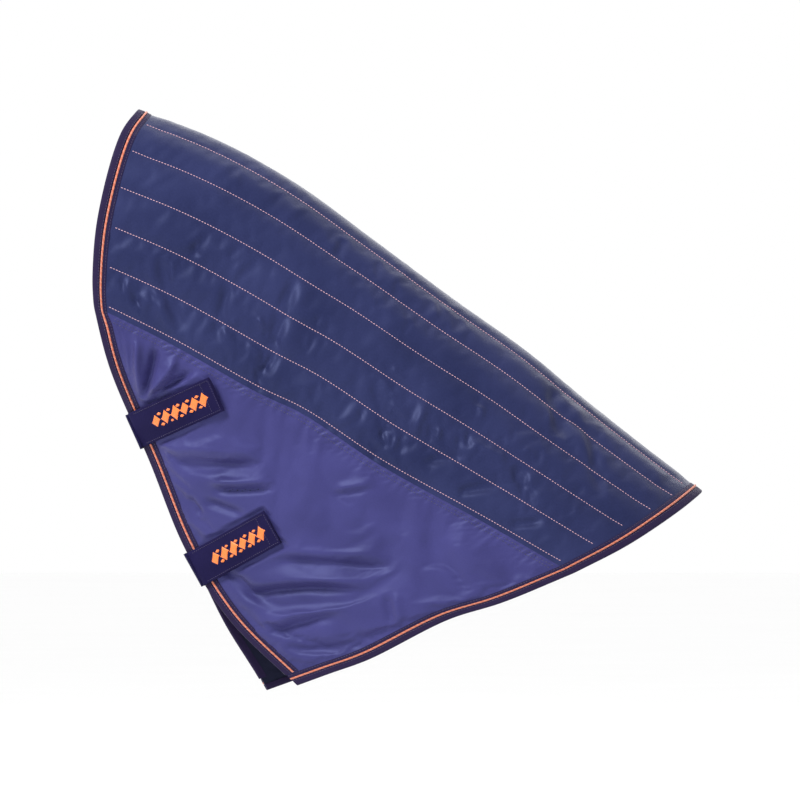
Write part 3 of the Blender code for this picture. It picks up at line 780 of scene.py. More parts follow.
class Ground:
    """Finished surfaces that stitches and trims are seated on."""

    def __init__(self, pieces: Iterable[bpy.types.Object]) -> None:
        """Make a search tree of each piece."""
        self.trees = [search_tree(piece.data) for piece in pieces]

    def seat(self, point: np.ndarray, normal: np.ndarray, reach: float = 0.02) -> Vector:
        """Return where a line down the normal first meets a surface, or the point itself.

        Args:
            point: A point near the surface.
            normal: The direction away from the surface.
            reach: How far out the line starts.

        Returns:
            The place on the surface, or the point where the line misses.
        """
        start, down = Vector(point) + Vector(normal) * reach, -Vector(normal)
        hits = [tree.ray_cast(start, down, 2 * reach) for tree in self.trees]
        found = [(hit[3], hit[0]) for hit in hits if hit[0] is not None]
        return min(found, key=lambda pair: pair[0])[1] if found else Vector(point)


@dataclass(frozen=True)
class StitchRow:
    """A row of sewn stitches."""

    SPOOL: ClassVar[int] = 40
    pitch: float = 0.0042
    length: float = 0.0033
    thickness: float = 0.0012
    sink: float = 0.1

    def sew(self, bm: bmesh.types.BMesh, path: np.ndarray, normals: np.ndarray, ground: Ground) -> None:
        """Sew the row into a mesh.

        Args:
            bm: The mesh that gets the stitches.
            path: Points along the row.
            normals: The cloth's normal at each point.
            ground: What the stitches lie on.
        """
        along = run_lengths(path)
        spool = bmesh.new()
        for number, place in enumerate(np.arange(self.pitch / 2, along[-1] - self.pitch / 3, self.pitch)):
            if number % self.SPOOL == self.SPOOL - 1:
                self.add_spool(bm, spool)
                spool = bmesh.new()
            ends = []
            for spot in (place - self.length / 2, place + self.length / 2):
                normal = read_line(spot, along, normals)
                ends.append(ground.seat(read_line(spot, along, path), unit(normal)))
            tangent = (ends[1] - ends[0]).normalized()
            up = Vector(unit(normal))
            across = up.cross(tangent).normalized()
            up = tangent.cross(across)
            middle = (ends[0] + ends[1]) / 2 + up * self.thickness * self.sink
            turn = Matrix((tangent, across, up)).transposed().to_4x4()
            size = Matrix.Diagonal((self.length / 2, self.thickness / 2, self.thickness / 2, 1.0))
            bmesh.ops.create_uvsphere(spool, u_segments=5, v_segments=4, radius=1.0,
                                      matrix=Matrix.Translation(middle) @ turn @ size)
        self.add_spool(bm, spool)

    @staticmethod
    def add_spool(bm: bmesh.types.BMesh, spool: bmesh.types.BMesh) -> None:
        """Add a short stretch of stitches to the row, which is quicker than growing one long mesh.

        Args:
            bm: The row's mesh.
            spool: The stretch, which is used up.
        """
        mesh = mesh_of("spool", spool)
        bm.from_mesh(mesh)
        bpy.data.meshes.remove(mesh)


# ---- settling the cloth --------------------------------------------------------------------------------
@dataclass(frozen=True)
class Settling:
    """How a sheet of cloth is left to settle between the places where it is sewn."""

    growth: float
    push: float
    sag: float
    stiffness: float
    bending: float
    room: float
    frames: int = 20

    def settle(self, points: np.ndarray, held: np.ndarray, side: Side) -> np.ndarray:
        """Let a grid of cloth points settle.

        Args:
            points: Rows by columns by 3.
            held: How firmly each point is held, from 0 to 1.
            side: The side of the cover.
        """
        rows, columns = points.shape[:2]
        bm, spots = flat_grid(rows, columns)
        order = np.empty((rows, columns), int)
        for number, (vert, row, column) in enumerate(spots):
            order[row, column] = number
            vert.co = points[row, column]
        bm.normal_update()
        outward = grid_normals(points, side)
        middle = spots[len(spots) // 2]
        if Vector(outward[middle[1], middle[2]]).dot(middle[0].normal) < 0:
            bmesh.ops.reverse_faces(bm, faces=bm.faces)
        mesh = mesh_of("settling", bm)
        sheet = place_object("settling", mesh)
        group = sheet.vertex_groups.new(name="sewn")
        for row in range(rows):
            for column in range(columns):
                if held[row, column] > 0:
                    group.add([int(order[row, column])], float(held[row, column]), "REPLACE")
        self._give_cloth(sheet)
        scene = bpy.context.scene
        for number in range(1, self.frames + 1):
            scene.frame_set(number)
        settled = sheet.evaluated_get(bpy.context.evaluated_depsgraph_get()).to_mesh()
        flat = np.empty(rows * columns * 3)
        settled.vertices.foreach_get("co", flat)
        found = flat.reshape(-1, 3)[order]
        scene.frame_set(1)
        bpy.data.objects.remove(sheet)
        bpy.data.meshes.remove(mesh)
        move = found - points
        size = np.linalg.norm(move, axis=-1, keepdims=True)
        return points + move * np.minimum(1.0, self.room / np.maximum(size, 1e-9))

    def _give_cloth(self, sheet: bpy.types.Object) -> None:
        """Give a sheet its cloth settings.

        Args:
            sheet: The sheet, with its sewn places in a vertex group.
        """
        modifier = sheet.modifiers.new("cloth", "CLOTH")
        cloth = modifier.settings
        cloth.quality = 6
        cloth.mass = 0.12
        cloth.tension_stiffness = self.stiffness
        cloth.compression_stiffness = self.stiffness
        cloth.shear_stiffness = self.stiffness * 0.6
        cloth.bending_stiffness = self.bending
        cloth.air_damping = 2.0
        cloth.shrink_min = -self.growth
        cloth.vertex_group_mass = "sewn"
        cloth.use_pressure = True
        cloth.uniform_pressure_force = self.push
        cloth.effector_weights.gravity = self.sag
        modifier.collision_settings.use_collision = False
        modifier.point_cache.frame_start = 1
        modifier.point_cache.frame_end = self.frames


@dataclass(frozen=True)
class Fold:
    """A ridge (or a furrow, when its height is below 0) pressed into the cloth, seen from the side."""

    start: tuple[float, float]
    end: tuple[float, float]
    height: float
    width: float
    bow: float = 0.0

    def heights(self, points: np.ndarray) -> np.ndarray:
        """Return the fold's height at each point, read in the side view.

        Args:
            points: Points, with a last axis of 3.

        Returns:
            The heights.
        """
        plan = points[..., [0, 2]]
        start, end = np.array(self.start), np.array(self.end)
        run = end - start
        length = float(np.linalg.norm(run))
        run /= length
        across = np.array([-run[1], run[0]])
        along = (plan - start) @ run / length
        bowed = self.bow * 4 * np.clip(along, 0, 1) * (1 - np.clip(along, 0, 1))
        off = (plan - start) @ across - bowed
        ends = smoothstep((along + 0.12) / 0.35) * smoothstep((1.12 - along) / 0.45)
        return self.height * ends * np.exp(-(off / self.width) ** 2)


# ---- the quilted sides ---------------------------------------------------------------------------------
@dataclass
class QuiltedSide:
    """One quilted side: shell over wadding in stitched channels, and its lining."""

    side: Side
    channel: float = 0.0466
    channel_rows: int = 9
    step: float = 0.0052
    valley: float = 0.0020
    crown: float = 0.0018
    deepest: float = 0.0014
    pucker_height: float = 0.0024
    fold_strength: float = 2.1
    thin: float = 0.0014
    thick: float = 0.0058
    edge_thickness: float = 0.0009
    rise: float = 0.026
    lining_gap: float = 0.0004
    folds: list[Fold] = field(default_factory=list)
    creases: list[Fold] = field(default_factory=list)

    def __post_init__(self) -> None:
        """Lay out the grid of the flat cloth."""
        row_step = self.channel / self.channel_rows
        last = FORM.quilt_depth - 0.0001
        rows = [0.0001, *np.arange(1, 6 * self.channel_rows + 1) * row_step]
        self.rows = np.array([*rows, (rows[-1] + last) / 2, last])
        self.lines = [self.channel_rows * n for n in range(1, 7)]
        count = round(FORM.crest.length / self.step)
        self.shares = np.linspace(0.0004, 0.9996, count + 1)
        self.u, self.s = np.meshgrid(self.shares, self.rows)
        self.place = self.u * FORM.row_length(self.s)
        self.base = FORM.quilt(self.u, self.s, self.side)
        self.normals = grid_normals(self.base, self.side)
        self.normals[0, :, 1] = 0.0
        self.normals = unit(self.normals)

    def growth(self) -> np.ndarray:
        """Return how far the wadding has grown, from 0 in the bound bands to 1.

        Returns:
            A share at each point of the grid.
        """
        end = FORM.row_length(self.s) - self.place
        near = np.minimum(self.place, end) - FORM.band
        low = (FORM.quilt_depth - self.s) + 0.004
        return smoothstep(near / self.rise) * smoothstep(low / 0.012)

    def channel_shape(self) -> np.ndarray:
        """Return the channels' crowns, 0 on the stitched lines and 1 between them."""
        shape = np.abs(np.sin(math.pi * self.s / self.channel)) ** 0.85
        return 1 - (1 - shape) * (0.15 + 0.85 * smoothstep((self.s / self.channel - 0.3) / 1.3))

    def unrest(self) -> np.ndarray:
        """Return how crumpled the shell lies, which is less along the crest than lower down."""
        patches = smoothstep(0.5 + 1.4 * wavy(self.place / 0.24, self.s / 0.20, 20 + self.side.value, 1))
        return (0.35 + 0.65 * patches) * (0.12 + 0.88 * smoothstep((self.s - 0.01) / 0.09))

    def shell_heights(self) -> np.ndarray:
        """Return the height of the shell over the base before it settles.

        Returns:
            A height at each point of the grid.
        """
        grown, shape = self.growth(), self.channel_shape()
        heights = grown * ((self.valley + self.crown) * shape - self.valley)
        seed = 11 + self.side.value
        slant = self.place + 0.35 * self.s
        pucker = wavy(slant / 0.034, self.s / 0.11, seed, 2)
        pucker *= smoothstep(0.5 + 1.3 * wavy(self.place / 0.07, self.s / 0.05, seed + 13, 2))
        unrest = self.unrest()
        near_line = 1 - np.abs(np.sin(math.pi * self.s / self.channel)) ** 2
        fine = wavy(slant / 0.014, self.s / 0.06, seed + 5, 1)
        heights += grown * shape * unrest * (self.pucker_height * pucker + 0.0005 * near_line * fine)
        broad = self.fold_strength * sum(fold.heights(self.base) for fold in self.folds)
        heights += broad * (0.35 + 0.65 * shape) * np.minimum(1.0, grown + 0.1)
        deep = np.maximum(0.0, -self.valley * grown - heights)
        limit = 0.0002 + self.deepest * shape * grown
        return heights + deep - limit * np.tanh(deep / limit)

    def build(self) -> bpy.types.Object:
        """Build the padded shell and the lining.

        Returns:
            The padded shell.
        """
        heights = self.shell_heights()
        shell = self.base + self.normals * heights[..., None]
        held = np.zeros(self.s.shape)
        for row in [0, *self.lines, -1]:
            held[row] = 1.0
        held[np.minimum(self.place, FORM.row_length(self.s) - self.place) < FORM.band] = 1.0
        settling = Settling(growth=0.006, push=0.5, sag=0.0, stiffness=15.0, bending=4.0, room=0.004)
        shell += (settling.settle(shell, held, self.side) - shell) * self.unrest()[..., None]
        grown, shape = self.growth(), self.channel_shape()
        thickness = self.edge_thickness + grown * (self.thin - self.edge_thickness
                                                   + (self.thick - self.thin) * shape)
        depth = grown * (self.valley + 0.4 * (self.crown + self.valley) * shape) * 0.6
        inner = self.base - self.normals * (thickness + depth)[..., None]
        places = np.stack([self.place, self.s], axis=-1)
        fine_shell, fine_inner, fine_places = refine(shell), refine(inner), refine(places)
        sharp = sum(fold.heights(fine_shell) for fold in self.creases)
        fine_shell += refine(self.normals) * (sharp * refine(grown * shape))[..., None]
        bm = cloth_mesh(fine_shell, fine_inner, fine_places)
        word = self.side.word
        quilt = add_piece(f"quilted_side_{word}", bm, QUILT_CLOTH,
                          replaces=[f"quilt_shell_{word}", f"wadding_{word}"])
        top = inner - self.normals * self.lining_gap
        lining = add_lining(f"quilt_lining_sheet_{word}", top, self.normals, places, f"quilt_lining_{word}")
        self.shell = shell
        return quilt

    def flat_area(self) -> float:
        """Return the area of the flat cloth."""
        return FORM.quilt_depth * (FORM.crest.length + FORM.seam.length) / 2


def refine(grid: np.ndarray) -> np.ndarray:
    """Return a grid of twice the fineness that runs smoothly through the old points.

    Args:
        grid: Values, rows by columns and any further axes.

    Returns:
        The finer grid.
    """
    for axis in (0, 1):
        moved = np.moveaxis(grid, axis, 0)
        padded = np.concatenate([2 * moved[:1] - moved[1:2], moved, 2 * moved[-1:] - moved[-2:-1]])
        between = (9 * (padded[1:-2] + padded[2:-1]) - padded[:-3] - padded[3:]) / 16
        finer = np.empty((2 * len(moved) - 1, *moved.shape[1:]))
        finer[::2] = moved
        finer[1::2] = between
        grid = np.moveaxis(finer, 0, axis)
    return grid


# ---- the throat panels ---------------------------------------------------------------------------------
@dataclass
class ThroatPanel:
    """One plain lower panel with gathers below its seam, and its lining."""

    side: Side
    columns: int = 150
    rows: int = 56
    gather_pitch: float = 0.0095
    gather_reach: float = 0.012
    gather_height: float = 0.0013
    fold_strength: float = 2.0
    shell_thickness: float = 0.0008
    lining_gap: float = 0.0003
    folds: list[Fold] = field(default_factory=list)

    def __post_init__(self) -> None:
        """Lay out the grid."""
        shares = np.linspace(0.0, 1.0, self.rows + 1)
        self.u, self.w = np.meshgrid(0.006 + 0.9935 * np.linspace(0, 1, self.columns + 1), shares)
        self.w = self.w * 0.999 + 0.0002
        self.base = FORM.lower(self.u, self.w, self.side)
        self.normals = grid_normals(self.base, self.side)
        self.down = run_lengths(self.base)
        self.along = self.u * FORM.panel_row_length(self.w)

    def free_share(self) -> np.ndarray:
        """Return how free the cloth is: 0 in its bound bands, 1 away from them.

        Returns:
            A share at each point of the grid.
        """
        to_throat = self.down[-1:] - self.down
        to_hem = (1 - self.u) * FORM.panel_row_length(self.w)
        return smoothstep((to_throat - FORM.band) / 0.035) * smoothstep((to_hem - FORM.band) / 0.03)

    def heights(self) -> np.ndarray:
        """Return the height of the cloth over its base before it settles.

        Returns:
            A height at each point of the grid.
        """
        free = self.free_share()
        near_seam = np.exp(-self.down / self.gather_reach) * (1 - np.exp(-self.down / 0.003))
        wobble = wavy(self.along / 0.06, self.down / 0.2, 31 + self.side.value, 2)
        gathers = np.sin(2 * math.pi * self.along / self.gather_pitch + 2.6 * wobble)
        strength = 0.55 + 0.45 * wavy(self.along / 0.09, self.down / 0.4, 57 + self.side.value, 1)
        waves = 0.0013 * wavy(self.along / 0.11, self.down / 0.06, 77 + self.side.value, 2)
        from_seam = smoothstep(self.down / 0.03)
        broad = sum(fold.heights(self.base) for fold in self.folds)
        return free * (self.gather_height * gathers * strength * near_seam * 2.2
                       + from_seam * (self.fold_strength * broad + waves))

    def cleared(self, cloth: np.ndarray) -> np.ndarray:
        """Return the cloth laid flat under the straps and over the lower patch inside the hem.

        Args:
            cloth: Points of the cloth.

        Returns:
            The cleared points.
        """
        lift = np.sum((cloth - self.base) * self.normals, axis=-1)
        plan = self.base[..., [0, 2]]
        highest, lowest = np.full(lift.shape, 0.02), np.full(lift.shape, -0.02)
        length = STRAP_REACH[self.side]
        for share in STRAP_SHARES.values():
            edge, run = FORM.throat_frame(share)
            p, q = (plan - edge) @ np.array([-run[1], run[0]]), np.abs((plan - edge) @ run)
            under = smoothstep((length + 0.016 - p) / 0.012) * smoothstep((0.040 - q) / 0.011)
            highest = np.minimum(highest, 0.0004 + 0.02 * (1 - under))
        low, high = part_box(f"rug_patch_{self.side.word}_lower")
        middle = np.array([(low[0] + high[0]) / 2, (low[2] + high[2]) / 2])
        over = smoothstep((0.056 - np.linalg.norm(plan - middle, axis=-1)) / 0.02)
        lowest = np.maximum(lowest, -0.0003 - 0.02 * (1 - over))
        return cloth + self.normals * (np.clip(lift, lowest, highest) - lift)[..., None]

    def build(self) -> bpy.types.Object:
        """Build the panel and its lining.

        Returns:
            The panel.
        """
        free = self.free_share()
        cloth = self.base + self.normals * self.heights()[..., None]
        held = np.where(free < 0.02, 1.0, 0.0)
        held[0] = 1.0
        settling = Settling(growth=0.010, push=0.1, sag=0.2, stiffness=10.0, bending=0.6, room=0.005)
        cloth = self.cleared(settling.settle(cloth, held, self.side))
        places = np.stack([self.along, self.down], axis=-1)
        fine, fine_places = refine(cloth), refine(places)
        normals = grid_normals(fine, self.side)
        word = self.side.word
        shell_bm = cloth_mesh(fine, fine - normals * self.shell_thickness, fine_places)
        panel = add_piece(f"throat_panel_{word}", shell_bm, THROAT_CLOTH,
                          replaces=[f"lower_shell_{word}"])
        coarse = grid_normals(cloth, self.side)
        top = cloth - coarse * (self.shell_thickness + self.lining_gap)
        lining = add_lining(f"throat_lining_sheet_{word}", top, coarse, places, f"lower_lining_{word}")
        return panel

    def flat_area(self) -> float:
        """Return the area of the flat cloth.

        Returns:
            The area in square metres.
        """
        sides = np.linalg.norm(np.cross(np.diff(self.base, axis=0)[:, :-1], np.diff(self.base, axis=1)[:-1]),
                               axis=-1)
        return float(sides.sum())


# ---- bound and corded edges ----------------------------------------------------------------------------
@dataclass
class EdgeTrim:
    """The binding, cord and flange along one edge, from one side over the crest to the other."""

    place: str
    spacing: float = 0.003
    binding_width: float = 0.008
    binding_top: float = 0.0016
    binding_foot: float = -0.0035
    binding_round: float = 0.0021
    binding_wall: float = 0.0008
    cord_middle: float = 0.0103
    cord_radius: float = 0.0016
    flange: tuple[float, float] = (0.0121, 0.0176)
    flange_height: float = 0.0012

    def stations(self, side: Side) -> np.ndarray:
        """Return stations of one side: each with three points inwards from the edge.

        Args:
            side: The side.

        Returns:
            Points, stations by 3 insets by 3.
        """
        insets = np.array([0.0, self.binding_width, FORM.band])
        s = np.linspace(0.0, FORM.quilt_depth, 90)
        length = FORM.row_length(s)
        shares = insets[None, :] / length[:, None]
        if self.place == "hem":
            shares = 1 - shares
        quilt = FORM.quilt(shares, np.repeat(s[:, None], 3, axis=1), side)
        if self.place == "front":
            end = 1 - (FORM.band + 0.0006) / FORM.throat.length
            u = np.linspace(0.055, end, 180)
            fall = FORM.lower(u, np.ones_like(u), side) - FORM.lower(u, np.zeros_like(u), side)
            deep = np.linalg.norm(fall, axis=-1)
            w = 1 - np.minimum(insets[None, :] / deep[:, None], 0.8 * insets[None, :] / FORM.band)
            lower = FORM.lower(np.repeat(u[:, None], 3, axis=1), w, side)
        else:
            w = np.linspace(0.01, 1.0, 130)
            u = 1 - insets[None, :] / FORM.panel_row_length(w)[:, None]
            lower = FORM.lower(u, np.repeat(w[:, None], 3, axis=1), side)
        return np.concatenate([quilt, lower])

    def __post_init__(self) -> None:
        """Join the sides and read the frames along the whole edge."""
        left, right = self.stations(Side.LEFT), self.stations(Side.RIGHT)
        rows = np.concatenate([left[::-1], right[1:]])
        along = run_lengths(rows[:, 0])
        self.length = float(along[-1])
        count = round(self.length / self.spacing)
        self.along = np.linspace(0.0, self.length, count + 1)
        even = np.stack([read_line(self.along, along, rows[:, j]) for j in range(3)], axis=1)
        self.rows = smooth_line(even, 5)
        run = unit(np.gradient(self.rows[:, 0], axis=0))
        inward = unit(self.rows[:, 1] - self.rows[:, 0])
        normal = unit(np.cross(run, inward))
        outward = self.rows[:, 0] - np.array([0.0, 0.0, -0.25])
        outward[:, 0] = 0.0
        flip = np.sign(np.sum(normal * outward, axis=-1).mean())
        self.normal = normal * flip
        self.normal2 = unit(np.cross(run, unit(self.rows[:, 2] - self.rows[:, 1]))) * flip

    def spot(self, across: float, height: float | np.ndarray) -> np.ndarray:
        """Return the line of points at a distance inwards from the edge and a height over the cloth.

        Args:
            across: The distance inwards from the edge.
            height: The height over the cloth, one value or one at each station.

        Returns:
            The points.
        """
        if across <= self.binding_width:
            share = across / self.binding_width
            base = self.rows[:, 0] + (self.rows[:, 1] - self.rows[:, 0]) * share
            normal = unit(self.normal * (1 - max(share, 0) / 2) + self.normal2 * max(share, 0) / 2)
        else:
            share = (across - self.binding_width) / (FORM.band - self.binding_width)
            base = self.rows[:, 1] + (self.rows[:, 2] - self.rows[:, 1]) * share
            normal = unit(self.normal * (1 - share) / 2 + self.normal2 * (1 + share) / 2)
        rise = np.broadcast_to(np.asarray(height, float), (len(base),))
        return base + normal * rise[:, None]

    def resampled(self, line: np.ndarray, step: float) -> np.ndarray:
        """Return a line of points with another spacing."""
        places = np.linspace(0.0, self.length, round(self.length / step) + 1)
        return read_line(places, self.along, line)

    def binding_section(self) -> list[tuple[float, float]]:
        """Return the closed section of the folded binding, as across and height.

        Returns:
            The section's corners in order.
        """
        top, foot, width = self.binding_top, self.binding_foot, self.binding_width
        middle, half = (top + foot) / 2, (top - foot) / 2
        outer = [(width, top - 0.0003), (width - 0.0008, top), (width * 0.6, top * 1.06), (width * 0.3, top)]
        for angle in np.linspace(math.pi / 2, -math.pi / 2, 9):
            outer.append((-self.binding_round * math.cos(angle), middle + half * math.sin(angle)))
        outer += [(width * 0.4, foot), (width, foot + 0.0002)]
        wall = self.binding_wall
        inner = [(width, foot + wall), (0.0015, foot + wall), (0.0003, middle), (0.0015, top - wall),
                 (width, top - wall)]
        return outer + inner

    def build(self) -> None:
        """Build binding, cord, flange and both stitch rows."""
        pucker = 0.00022 * wavy(self.along / 0.012, self.along * 0, 5, 2)
        rings = []
        for across, height in self.binding_section():
            lift = pucker * (1 if height > 0 else -0.6) * (0.3 + across / self.binding_width)
            rings.append(self.spot(across, height + lift))
        bm = swept_mesh(np.stack(rings, axis=1), run_lengths(np.array(self.binding_section())))
        binding = add_piece(f"{self.place}_binding_tape", bm, BINDING_TAPE,
                            replaces=[f"{self.place}_binding"], sharp=75)
        self.build_cord()
        self.build_flange(binding)

    def build_flange(self, binding: bpy.types.Object) -> None:
        """Build the cord's sewing flange, and the stitch rows on it and on the binding.

        Args:
            binding: The built binding.
        """
        start, end = self.flange
        flat = [(start, 0.0004), (start, self.flange_height), (start + 0.0012, self.flange_height),
                (end - 0.0006, self.flange_height * 0.9), (end, 0.0006), (end, 0.0002)]
        ripple = 0.00018 * wavy(self.along / 0.01, self.along * 0, 9, 2)
        flange_rings = [self.spot(a, h + ripple * (h > 0.0007)) for a, h in flat]
        bm = swept_mesh(np.stack(flange_rings, axis=1), np.array([across for across, _ in flat]))
        flange = add_piece(f"{self.place}_piping_flange", bm, FLANGE_TAPE)
        ground = Ground([binding, flange])
        stitches = bmesh.new()
        row = StitchRow(pitch=0.0040, length=0.0027, thickness=0.0007)
        for across in (self.binding_width - 0.0016, end - 0.0018):
            row.sew(stitches, self.spot(across, 0.001), self.normal, ground)
        add_piece(f"{self.place}_binding_stitches", stitches, DARK_THREAD)

    def build_cord(self) -> None:
        """Build the twisted two-ply cord beside the binding."""
        step = 0.00125
        middle = self.resampled(self.spot(self.cord_middle, 0.0011), step)
        normal = self.resampled(self.normal, step)
        inward = self.resampled(unit(self.rows[:, 2] - self.rows[:, 1]), step)
        count = 12
        angles = np.arange(count) * 2 * math.pi / count
        turns = np.arange(len(middle)) * step * 2 * math.pi / CORD_LAY
        rings = []
        for angle in angles:
            lobe = self.cord_radius * (0.80 + 0.20 * np.abs(np.cos(angle - turns)))
            rings.append(middle + (normal * math.sin(angle) + inward * math.cos(angle)) * lobe[:, None])
        cord = swept_mesh(np.stack(rings, axis=1), angles)
        add_piece(f"{self.place}_piping_cord", cord, PIPING_CORD,
                  replaces=[f"{self.place}_piping"], sharp=80)


# ---- throat straps -------------------------------------------------------------------------------------
@dataclass
class ThroatStrap:
    """One throat strap: root, bridge, folds and the stitched tab with its motif."""

    name: str
    share: float
    width: float = 0.050
    thickness: float = 0.0022
    tab_length: float = 0.118
    tab_start: float = -0.0029
    root_length: float = 0.062
    fold_radius: float = 0.0021
    motif_start: float = 0.022
    motif_end: float = 0.106
    motif_count: int = 6
    motif_height: float = 0.020
    dot_offset: float = 0.0075
    dot_reach: float = 0.0018
    root_box: tuple[float, float] = (0.034, 0.058)
    box_inset: float = 0.004
    row_inset: float = 0.0036
    row_start: float = 0.004
    row_stop: float = 0.003
    end_rows: tuple[float, float] = (0.0035, 0.0155)

    def __post_init__(self) -> None:
        """Read the strap's place from the throat line and the joints."""
        self.edge, self.run = FORM.throat_frame(self.share)
        self.inward = np.array([-self.run[1], self.run[0]])
        joints = {joint["name"]: joint for joint in frame["joints"]}
        self.root_fold = np.array(joints[f"{self.name}_swing"]["pos_m"])
        self.tab_fold = np.array(joints[f"{self.name.replace('strap', 'tab')}_peel"]["pos_m"])
        self.across = np.array([self.run[0], 0.0, self.run[1]])
        self.tab_body = self.name.replace("strap", "tab")

    def face(self, node: str, side: Side, reaches: np.ndarray, offsets: np.ndarray) -> np.ndarray:
        """Return a grid of points on the outer face of a CAD node.

        Args:
            node: The node.
            side: The side it lies on.
            reaches: Distances inwards from the throat edge.
            offsets: Distances along the throat edge.

        Returns:
            Points, reaches by offsets by 3.
        """
        tree = search_tree(frame["nodes"][node].data)
        points = np.full((len(reaches), len(offsets), 3), np.nan)
        for j, reach in enumerate(reaches):
            for i, offset in enumerate(offsets):
                x, z = self.edge + self.inward * reach + self.run * offset
                hit = tree.ray_cast(Vector((x, side.value, z)), Vector((0, -side.value, 0)))[0]
                if hit is not None:
                    points[j, i] = hit
        for j in range(len(reaches)):
            for i in range(len(offsets)):
                if np.isnan(points[j, i, 0]):
                    filled = np.argwhere(~np.isnan(points[..., 0]))
                    near = filled[np.argmin(np.abs(filled - [j, i]) @ [3, 1])]
                    x, z = self.edge + self.inward * reaches[j] + self.run * offsets[i]
                    points[j, i] = (x, points[near[0], near[1], 1], z)
        return points

    def band(self, node: str, piece: str, side: Side, start: float, length: float,
             body: str) -> bpy.types.Object:
        """Build a flat, soft-edged stretch of strap in place of a CAD node.

        Args:
            node: The CAD node it stands for.
            piece: Its name.
            side: The side it lies on.
            start: Where it starts, inwards from the throat edge.
            length: Where it ends.
            body: The body it moves with.

        Returns:
            The piece.
        """
        half = self.width / 2
        spread = np.array([0, 0.2, 0.4, 0.6, 0.8, 0.9, 0.95, 0.985, 1])
        offsets = np.concatenate([-spread[:0:-1], spread]) * (half - 0.0002)
        reaches = np.concatenate([[start, start + 0.0006, start + 0.0016],
                                  np.arange(start + 0.004, length - 0.005, 0.003),
                                  [length - 0.0045, length - 0.0022, length - 0.0009, length - 0.0002]])
        outer = self.face(node, side, reaches, offsets)
        normals = grid_normals(outer, side)
        if (normals[..., 1] * side.value).mean() < 0:
            normals = -normals
        p, q = np.meshgrid(reaches, offsets, indexing="ij")
        edge = np.minimum(half - np.abs(q), length - p)
        lip = 0.00035 * np.exp(-((edge - 0.0022) / 0.0016) ** 2)
        lip -= 0.00025 * np.exp(-((edge - 0.0048) / 0.0008) ** 2)
        hem = 0.0006 * smoothstep((p - length + 0.018) / 0.002)
        softness = 0.00028 * wavy(p / 0.035, q / 0.05, 3 + len(piece), 2)
        pull = 1 - np.sqrt(np.clip(1 - (1 - np.clip(edge / 0.0009, 0, 1)) ** 2, 0, 1))
        top = outer + normals * (lip + hem + softness - pull * self.thickness * 0.45)[..., None]
        under = outer - normals * (self.thickness * (1 - 0.45 * pull))[..., None]
        places = np.stack([p, q], axis=-1)
        self.top, self.top_normals, self.reaches, self.offsets = top, normals, reaches, offsets
        return add_piece(f"{self.name}_{piece}", cloth_mesh(top, under, places), STRAP_CLOTH,
                         body=body, replaces=[node])

    def line_on(self, spots: Sequence[tuple[float, float]]) -> tuple[np.ndarray, np.ndarray]:
        """Return points and normals of the last built band along a path of reach and offset.

        Args:
            spots: Corners of the path.

        Returns:
            The points and the normals.
        """
        points, normals = [], []
        dense = []
        for a, b in zip(spots, spots[1:]):
            dense += [np.array(a) + (np.array(b) - np.array(a)) * t for t in np.linspace(0, 1, 16)[:-1]]
        dense.append(np.array(spots[-1]))
        for reach, offset in dense:
            j = int(np.argmin(np.abs(self.reaches - reach)))
            i = int(np.argmin(np.abs(self.offsets - offset)))
            x, z = self.edge + self.inward * reach + self.run * offset
            points.append((x, self.top[j, i, 1], z))
            normals.append(self.top_normals[j, i])
        return np.array(points), np.array(normals)

    def sew(self, piece: bpy.types.Object, rows: Sequence[Sequence[tuple[float, float]]], name: str,
            body: str) -> None:
        """Sew rows of stitches on the last built band.

        Args:
            piece: The band.
            rows: The corners of each row.
            name: The last part of the stitches' name.
            body: The body they move with.
        """
        ground = Ground([piece])
        stitches = bmesh.new()
        row = StitchRow(pitch=0.0034, length=0.0026, thickness=0.0006)
        for spots in rows:
            row.sew(stitches, *self.line_on(spots), ground)
        add_piece(f"{self.name}_{name}", stitches, DARK_THREAD, body=body)

    def build(self) -> None:
        """Build all pieces of the strap."""
        half, end = self.width / 2, self.tab_length
        root = self.band(f"{self.name}_root", "root_band", Side.RIGHT, self.tab_start,
                         self.root_length, COVER)
        (near, far), box = self.root_box, half - self.box_inset
        corners = [(near, -box), (far, -box), (far, box), (near, box)]
        cross = [corners[::2], [corners[3], corners[1]]]
        self.sew(root, [corners + corners[:1], *cross], "root_stitches", COVER)
        tab = self.band(f"{self.name}_tab", "tab_band", Side.LEFT, self.tab_start, end, self.tab_body)
        side_row = half - self.row_inset
        rows = [[(self.row_start, q), (end - self.row_stop, q)] for q in (-side_row, side_row)]
        rows += [[(end - inset, -box), (end - inset, box)] for inset in self.end_rows]
        self.sew(tab, rows, "tab_stitches", self.tab_body)
        self.build_motif()
        self.build_folds()

    def build_motif(self) -> None:
        """Build the row of satin-stitched lozenges on the tab."""
        pitch = (self.motif_end - self.motif_start) / self.motif_count
        bm = bmesh.new()
        for number in range(self.motif_count):
            middle = self.motif_start + pitch * (number + 0.5)
            self.add_lozenge(bm, middle, 0.0, pitch * 0.49, self.motif_height / 2, 0.0016)
            if number:
                for offset in (-self.dot_offset, self.dot_offset):
                    self.add_lozenge(bm, middle - pitch / 2, offset, pitch * 0.22, self.dot_reach, 0.0)
        add_piece(f"{self.name}_motif_satin", bm, MOTIF_THREAD, body=self.tab_body,
                  replaces=[f"{self.name}_motif"], sharp=70)

